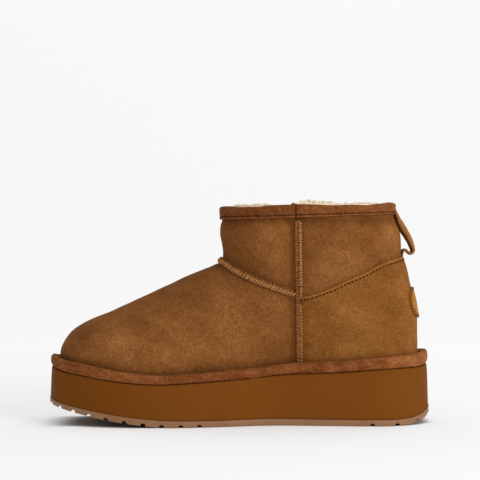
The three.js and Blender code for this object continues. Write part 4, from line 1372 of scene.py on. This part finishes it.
def collar_loop(level):
    """Ring of the skin at a level below the collar: a section near the top, round from the back."""
    low, high = skin_numbers[-1] - 3.0, skin_numbers[-1]
    numbers = np.linspace(low, high, 240)
    drop = COLLAR_BACK - upper_ends(numbers)[2]
    number = np.interp(level, drop[::-1], numbers[::-1])
    dense = np.linspace(0, 1, 3000)
    arc = walked(upper_skin(np.full_like(dense, number), dense))
    across = np.interp(np.linspace(0, arc[-1], COLLAR_LOOP_SIZE + 1)[:-1], arc, dense)
    ring = upper_skin(np.full_like(across, number), across)
    along = np.roll(ring, -1, axis=0) - np.roll(ring, 1, axis=0)
    out = unit(np.cross(along, UPWARDS))
    centre = ring.mean(axis=0)
    out *= np.sign(((ring - centre) * out).sum(axis=1).mean())
    return ring, out


def join_step(ring):
    """Where the binding's ends meet over the inner side seam: a thin bump and the lap behind it."""
    inner = ring[:, 1] < middle_line(ring[:, 0])
    from_join = ring[:, 0] - (seam_side_x(COLLAR_BACK) - 3.2)
    bump = bell(from_join, 0.9) * inner
    lap = ease(from_join / 1.0) * np.exp(-np.maximum(from_join, 0) / 26) * inner
    groove = bell(from_join - 1.7, 0.7) * inner
    return bump, lap, groove


print("collar's ring, mm:", np.ptp(collar_loop(4.0)[0], axis=0).round(1))


# %% Profile of the binding
# The profile runs from inside the lining over the collar to the outer lower edge: distance outwards from
# the skin and height below the top.
BINDING_TOP = 1.35
BINDING_PROFILE = table("out down", [
    (-3.4, 6.2), (-3.8, 5.6), (-3.9, 4.0), (-3.9, 2.0), (-3.6, 0.9), (-2.9, 0.25), (-1.8, 0.0), (-0.6, 0.0),
    (0.5, 0.2), (1.2, 0.75), (1.55, 1.6), (1.65, 2.8), (1.6, 4.2), (1.5, 6.0), (1.4, 7.6), (1.05, 8.3),
    (1.05, 9.0), (1.35, 9.4), (1.45, 9.8), (1.4, 10.2), (1.15, 10.5), (0.8, 10.7), (-0.2, 10.7), (-0.9, 10.2),
])
BINDING_STITCH = 8.7


def binding_scale(x):
    """The binding is narrower towards the back."""
    return np.interp(x, [168.0, 241.0], [0.84, 0.64])


def binding_surface(ring, out, bump, lap, across, down):
    """The collar's ring moved out and down to a point of the profile. Its top rises at the join and at
    the back, where the loop pulls, and dips where the wool shows most."""
    x = ring[:, 0]
    top = np.interp(x, [90.0, 245.0], [COLLAR_FRONT, COLLAR_BACK]) + BINDING_TOP
    swell = 0.12 * wave_noise(ring, 12.0, 71) * (across > 0)
    reach = across + swell + (0.7 * bump + 0.35 * lap) * (across > -2)
    flare = 1.2 * bell(x - 238, 4.5)
    flare -= 0.85 * ease((x - 124) / 10) * ease((153 - x) / 8)
    flare -= 0.6 * ease((x - 176) / 18) * ease((228 - x) / 8)
    lift = (1.5 * bump + 0.35 * lap + flare) * (down < 3) + 0.25 * wave_noise(ring, 30.0, 72)
    points = ring + out * reach[:, None]
    points[:, 2] = top - down * binding_scale(x) + lift
    return points


print("binding's width in front and behind, mm:", BINDING_PROFILE["down"].max() * binding_scale([120, 245]))


# %% Collar binding
BINDING_LEVEL = 4.0
BINDING_STITCHES = 128
STITCH_SHARE = 0.58


def binding():
    """The profile at every point of the collar's ring, with a cut where the ends meet."""
    ring, out = collar_loop(BINDING_LEVEL)
    bump, lap, groove = join_step(ring)
    rows = []
    for across, down in zip(BINDING_PROFILE["out"], BINDING_PROFILE["down"]):
        cut = 0.8 * groove * (across > 0)
        rows.append(binding_surface(ring, out, bump, lap, across - cut, down))
    points = np.stack(rows)
    grain = wave_noise(points, 5.0, 73)
    edge = bell(BINDING_PROFILE["down"] - 10.4, 0.7)[:, None]
    seat = bell(BINDING_PROFILE["down"] - BINDING_STITCH, 0.6)[:, None]
    rear = 0.25 * ease((ring[:, 0] - 166) / 12)
    # Lighter towards the back and along the lower roll; painted shade in the sunk stitch line and in the
    # groove at the join, and a painted highlight on the raised join.
    nap = 0.4 + rear + 0.25 * grain + 0.35 * edge - 0.5 * seat - 1.2 * groove[None] + 0.3 * bump[None]
    piece = add_grid("collar_binding_suede", points, BINDING_SUEDE, True, True, {"nap": nap})
    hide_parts("collar_binding")
    binding_stitches(ring, out, bump, lap)


def binding_stitches(ring, out, bump, lap):
    """Stitches round the binding, each sunk by its own amount and dipping in at both ends."""
    count = BINDING_STITCHES
    share = np.linspace(0, 1, 6)
    at = np.arange(count)[:, None] * len(ring) / count + share * len(ring) * STITCH_SHARE / count
    at = at % len(ring)
    low = np.floor(at).astype(int)
    high, t = (low + 1) % len(ring), (at % 1)[..., None]
    bed = binding_surface(ring, out, bump, lap, 1.15, BINDING_STITCH)
    sunk = np.random.default_rng(74).uniform(-0.05, 0.30, (count, 1))
    lift = 0.20 - sunk - 0.4 * (2 * share - 1) ** 4
    path = mix(bed[low], bed[high], t) + out[low] * lift[..., None]
    add_many("binding_topstitch", tubes(path, out[low], 0.33, 5), DARK_THREAD_AND_HOLE_SHADE)


binding()

# %% [markdown]
# The pull loop. A doubled strip of suede comes out from under the binding, stands off the back and is
# tucked under the counter with a small fold. It hangs by its own stiffness, so a cloth run would only
# blur it: its route is drawn in the side view and a flat rounded section is carried along it.

# %% Pull loop
LOOP_WIDTH = 14.0
LOOP_ROUTE = table("x z thick", [
    (240.4, 150.6, 1.8), (241.7, 146.6, 2.0), (242.7, 143.2, 3.2), (244.3, 139.4, 4.6), (247.0, 134.6, 5.2),
    (249.2, 131.0, 4.8), (251.9, 126.4, 4.2), (253.6, 121.8, 3.4), (254.5, 118.6, 2.6), (252.4, 116.5, 1.9),
    (250.2, 118.1, 1.7), (248.5, 119.8, 1.7), (247.2, 119.3, 1.7), (246.7, 117.1, 1.7), (246.2, 115.0, 1.7),
])


def drawn_curve(columns, count):
    """A rounded line through points: straight parts resampled evenly, then smoothed three times."""
    points = np.stack(columns, axis=1)
    arc = walked(points[:, :2])
    at = np.linspace(0, arc[-1], count)
    line = np.stack([np.interp(at, arc, points[:, k]) for k in range(points.shape[1])], axis=1)
    for _ in range(3):
        line[1:-1] = (line[:-2] + 2 * line[1:-1] + line[2:]) / 4
    return line


def pull_loop():
    """A flat section with rounded corners, as wide as the strip, carried along the route. Its inner side
    lies in shade, so its nap is dark."""
    route = drawn_curve(list(LOOP_ROUTE.values()), 90)
    along = unit(np.gradient(route[:, :2], axis=0))
    outward_x, outward_z = -along[:, 1], along[:, 0]
    angle = 2 * math.pi * np.arange(28) / 28
    wide = np.sign(np.cos(angle)) * np.abs(np.cos(angle)) ** 0.4 * LOOP_WIDTH / 2
    thick = np.sign(np.sin(angle)) * np.abs(np.sin(angle)) ** 0.75 / 2
    reach = thick[None, :] * route[:, 2:3]
    points = np.stack([route[:, 0:1] + outward_x[:, None] * reach, wide + 0 * reach,
                       route[:, 1:2] + outward_z[:, None] * reach], axis=-1)
    points += 0.12 * wave_noise(points, 6.0, 81)[..., None]
    groove = bell(np.sin(angle), 0.16)
    under = ease((-0.28 - np.sin(angle)) / 0.4)
    nap = 1.15 - 0.15 * groove - 2.4 * under + 0.15 * wave_noise(points, 5.0, 82)
    ends = points.mean(axis=1, keepdims=True) + 0 * points
    points = np.concatenate([ends[:1], points, ends[-1:]])
    nap = np.concatenate([nap[:1], nap, nap[-1:]])
    piece = add_grid("pull_loop_suede", points, SUEDE, wrap_cols=True, attributes={"nap": nap})
    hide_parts("pull_loop")


pull_loop()

# %% [markdown]
# The badge. A round patch of paler suede, left bare. A disc is laid on the counter by walking from its
# centre along the heel's own arcs, so it bends with the heel, and a row of stitches follows its rim.

# %% Badge
BADGE_RADIUS = 11.0
BADGE_HEIGHT = 82.8
BADGE_SIDE = -8.0
BADGE_STITCHES = 28
BADGE_STITCH_RADIUS = 10.1


def badge_surface(across, up):
    """Points of the counter at distances from the badge's centre, across towards the outer side."""
    theta = np.linspace(0.25 * math.pi, 0.75 * math.pi, 801)
    arc = walked(heel_wrap(theta, lambda x: BADGE_HEIGHT + 0 * x))
    arc -= arc[400]
    at = np.interp(across + BADGE_SIDE, arc, theta)
    level = BADGE_HEIGHT + up * 0.97
    return heel_wrap(at, lambda x: level)


def on_badge(across, up, lift):
    """Points a lift above the counter, and their outward directions."""
    here = badge_surface(across, up)
    side = badge_surface(across + 0.5, up) - badge_surface(across - 0.5, up)
    rise = badge_surface(across, up + 0.5) - badge_surface(across, up - 0.5)
    normal = unit(np.cross(rise, side))
    normal *= np.sign(normal[..., :1])
    return here + normal * (relief(*xyz(here)) + LAYER + lift)[..., None], normal


def badge():
    """Rings from the disc's middle over its rounded, stitched rim to its underside."""
    angle = 2 * math.pi * np.arange(96) / 96
    radii = np.array([0, 3, 6, 8.6, 9.3, 9.8, 10.2, 10.6, 10.85, 11, 11, 10.6, 6, 0])
    lifts = np.array([1.5, 1.5, 1.45, 1.4, 1.2, 1.1, 1.2, 1.35, 1.2, 0.7, -0.2, -0.4, -0.4, -0.4])
    radius = radii[:, None] * BADGE_RADIUS / 11
    points, _ = on_badge(radius * np.cos(angle), radius * np.sin(angle), lifts[:, None] + 0 * angle)
    points[0], points[-1] = points[0].mean(axis=0), points[-1].mean(axis=0)
    edge = ease((radii - 9.6) / 0.8)[:, None]
    nap = 0.5 + 0.25 * wave_noise(points, 6.0, 91) - 1.0 * edge
    piece = add_grid("heel_badge_suede", points, BADGE, wrap_cols=True, attributes={"nap": nap})
    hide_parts("heel_badge")
    share = np.linspace(-0.28, 0.28, 5)
    turn = 2 * math.pi * (np.arange(BADGE_STITCHES)[:, None] + share) / BADGE_STITCHES
    lift = 1.05 + 0.25 - 0.4 * (share / 0.28) ** 4 + 0 * turn
    radius = BADGE_STITCH_RADIUS
    path, normal = on_badge(radius * np.cos(turn), radius * np.sin(turn), lift)
    add_many("badge_stitches", tubes(path, normal, 0.46, 5), DARK_THREAD_AND_HOLE_SHADE)


badge()

# %% [markdown]
# The wool. The pile of a shorn sheepskin is a mass of short curls. Hair strands would be lost in the
# export, so the pile is a lumpy shell inside the leather that rolls over the collar, with small curls
# of closed tubes where it is seen.

# %% Wool lining
PILE = 5.6
TUCK_CLEARANCE = 1.6


def pile_height(x, side):
    """How far the wool stands above the binding: higher behind the join and behind the front corner."""
    inner = ease((side + 0.2) / 0.4)
    rear = ease((x - 167) / 9) * ease((236 - x) / 14) * (1.05 + 2.65 * ease((206 - x) / 24))
    front = 1.6 * ease((x - 118) / 10) * ease((160 - x) / 12)
    return 0.2 + (rear + front) * inner + 0.9 * (1 - inner) * np.sin(x / 16) ** 2


def wool_shell():
    """Back and face of the wool as two grids of equal size, from the toe to the roll over the collar."""
    base, normal = SKIN[::2, ::2], SKIN_NORMAL[::2, ::2]
    x, z = base[..., 0], base[..., 2]
    near_top = ease((z - z[-1] + 9.5) / 3)
    back = base - normal * (WALL + 0.4 + TUCK_CLEARANCE * near_top)[..., None]
    lumps = 0.8 * wave_noise(base, 7.0, 101) + 0.4 * wave_noise(base, 3.4, 102)
    face = base - normal * (WALL + 0.4 + PILE * ease((x - 8) / 30) + lumps)[..., None]
    ring, out = base[-1], normal[-1]
    stand = pile_height(ring[:, 0], side_of(ring[:, 0], ring[:, 1]))
    stand = stand + 0.35 * wave_noise(ring, 5.0, 103) + 0.2 * wave_noise(ring, 2.6, 104)
    rolls = [(5.0, 1.3, 9.0, 1.2), (5.4, 2.0 + 0.4 * stand, 8.8, 1.8 + 0.2 * stand),
             (6.1, 2.0 + 0.8 * stand, 8.2, 1.9 + 0.7 * stand), (6.9, 1.9 + stand, 7.5, 1.9 + stand)]
    back_rows, face_rows = [back], [face]
    for back_in, back_up, face_in, face_up in rolls:
        for rows, inwards, up in ((back_rows, back_in, back_up), (face_rows, face_in, face_up)):
            row = ring - out * inwards + 0.25 * wave_noise(ring + inwards, 3.0, 105)[:, None] * out
            row[:, 2] = ring[:, 2] + up
            rows.append(row[None])
    shells = [np.concatenate(rows) for rows in (back_rows, face_rows)]
    for shell in shells:
        shell[..., 2] = np.maximum(shell[..., 2], foot_edge(shell[..., 0]) + 3.4)
    return shells


def lining():
    """Back and face joined into one closed padded shell."""
    back, face = wool_shell()
    faces = two_sided_faces(back.shape[0], back.shape[1], int(on_foot[::2].sum()) - 1)
    piece = add_mesh("wool_lining", np.stack([back, face]), faces, WOOL)
    return back, face


back_of_wool, face_of_wool = lining()


# %% Curls of the wool
CURLS = 4000
CURL_THICKNESS = 0.36


def curls(back, face):
    """Small bent tubes on the roll and the upper part of the pile, thickest where the wool shows."""
    random = np.random.default_rng(107)
    rows, cols = face.shape[:2]
    count = CURLS
    row = rows - 1 - np.abs(random.normal(0, 9.0, count)).astype(int) % (rows // 2)
    row[::3] = random.integers(rows // 3, rows - 8, len(row[::3]))
    col = random.integers(1, cols - 1, count)
    root = np.where(random.random((count, 1)) < 0.25, back[-2, col], face[row, col])
    inwards = unit(face[row, col] - SKIN[::2, ::2][np.minimum(row, len(SKIN[::2]) - 1), col])
    rise = unit(inwards + np.array([0, 0, 1.0]) * (row > rows - 6)[:, None] * 1.6)
    lean = unit(random.normal(size=(count, 3)))
    twist = unit(np.cross(rise, lean))
    share = np.linspace(0, 1, 6)[None, :, None]
    turn = 2 * math.pi * share * random.uniform(0.5, 0.9, (count, 1, 1))
    size = random.uniform(0.38, 0.66, (count, 1, 1))
    path = (root[:, None] + rise[:, None] * (share * 1.5 - 0.5) * size
            + size * (lean[:, None] * np.sin(turn) + twist[:, None] * (1 - np.cos(turn))))
    add_many("wool_curls", tubes(path, rise[:, None] + 0 * path, CURL_THICKNESS, 4), WOOL)


curls(back_of_wool, face_of_wool)

# %% Footbed
def footbed():
    """A wool footbed on the deck: a low slab with a rounded rim and a lumpy top."""
    count, inset, thick = 160, UPPER_INSET + WALL + 1.5, 4.0
    levels = [(30, 0), (inset + 1, 0), (inset, 0.3), (inset, 3.0), (inset + 0.5, 3.7), (inset + 1.4, thick)]
    levels += [(inset + step, thick) for step in (4, 8, 12, 16, 20, 25, 30)]
    rings = []
    for at, height in levels:
        loop = rim_loop(count, min(at, 34))
        ring = at_height(loop, deck_height(loop[:, 0]) + GAP + height)
        ring[:, 2] -= 0.35 * (height >= thick) * (1 + wave_noise(ring, 7.0, 111))
        rings.append(ring)
    piece = add_grid("wool_footbed", capped(rings), WOOL, wrap_cols=True)
    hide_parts("insole")


footbed()
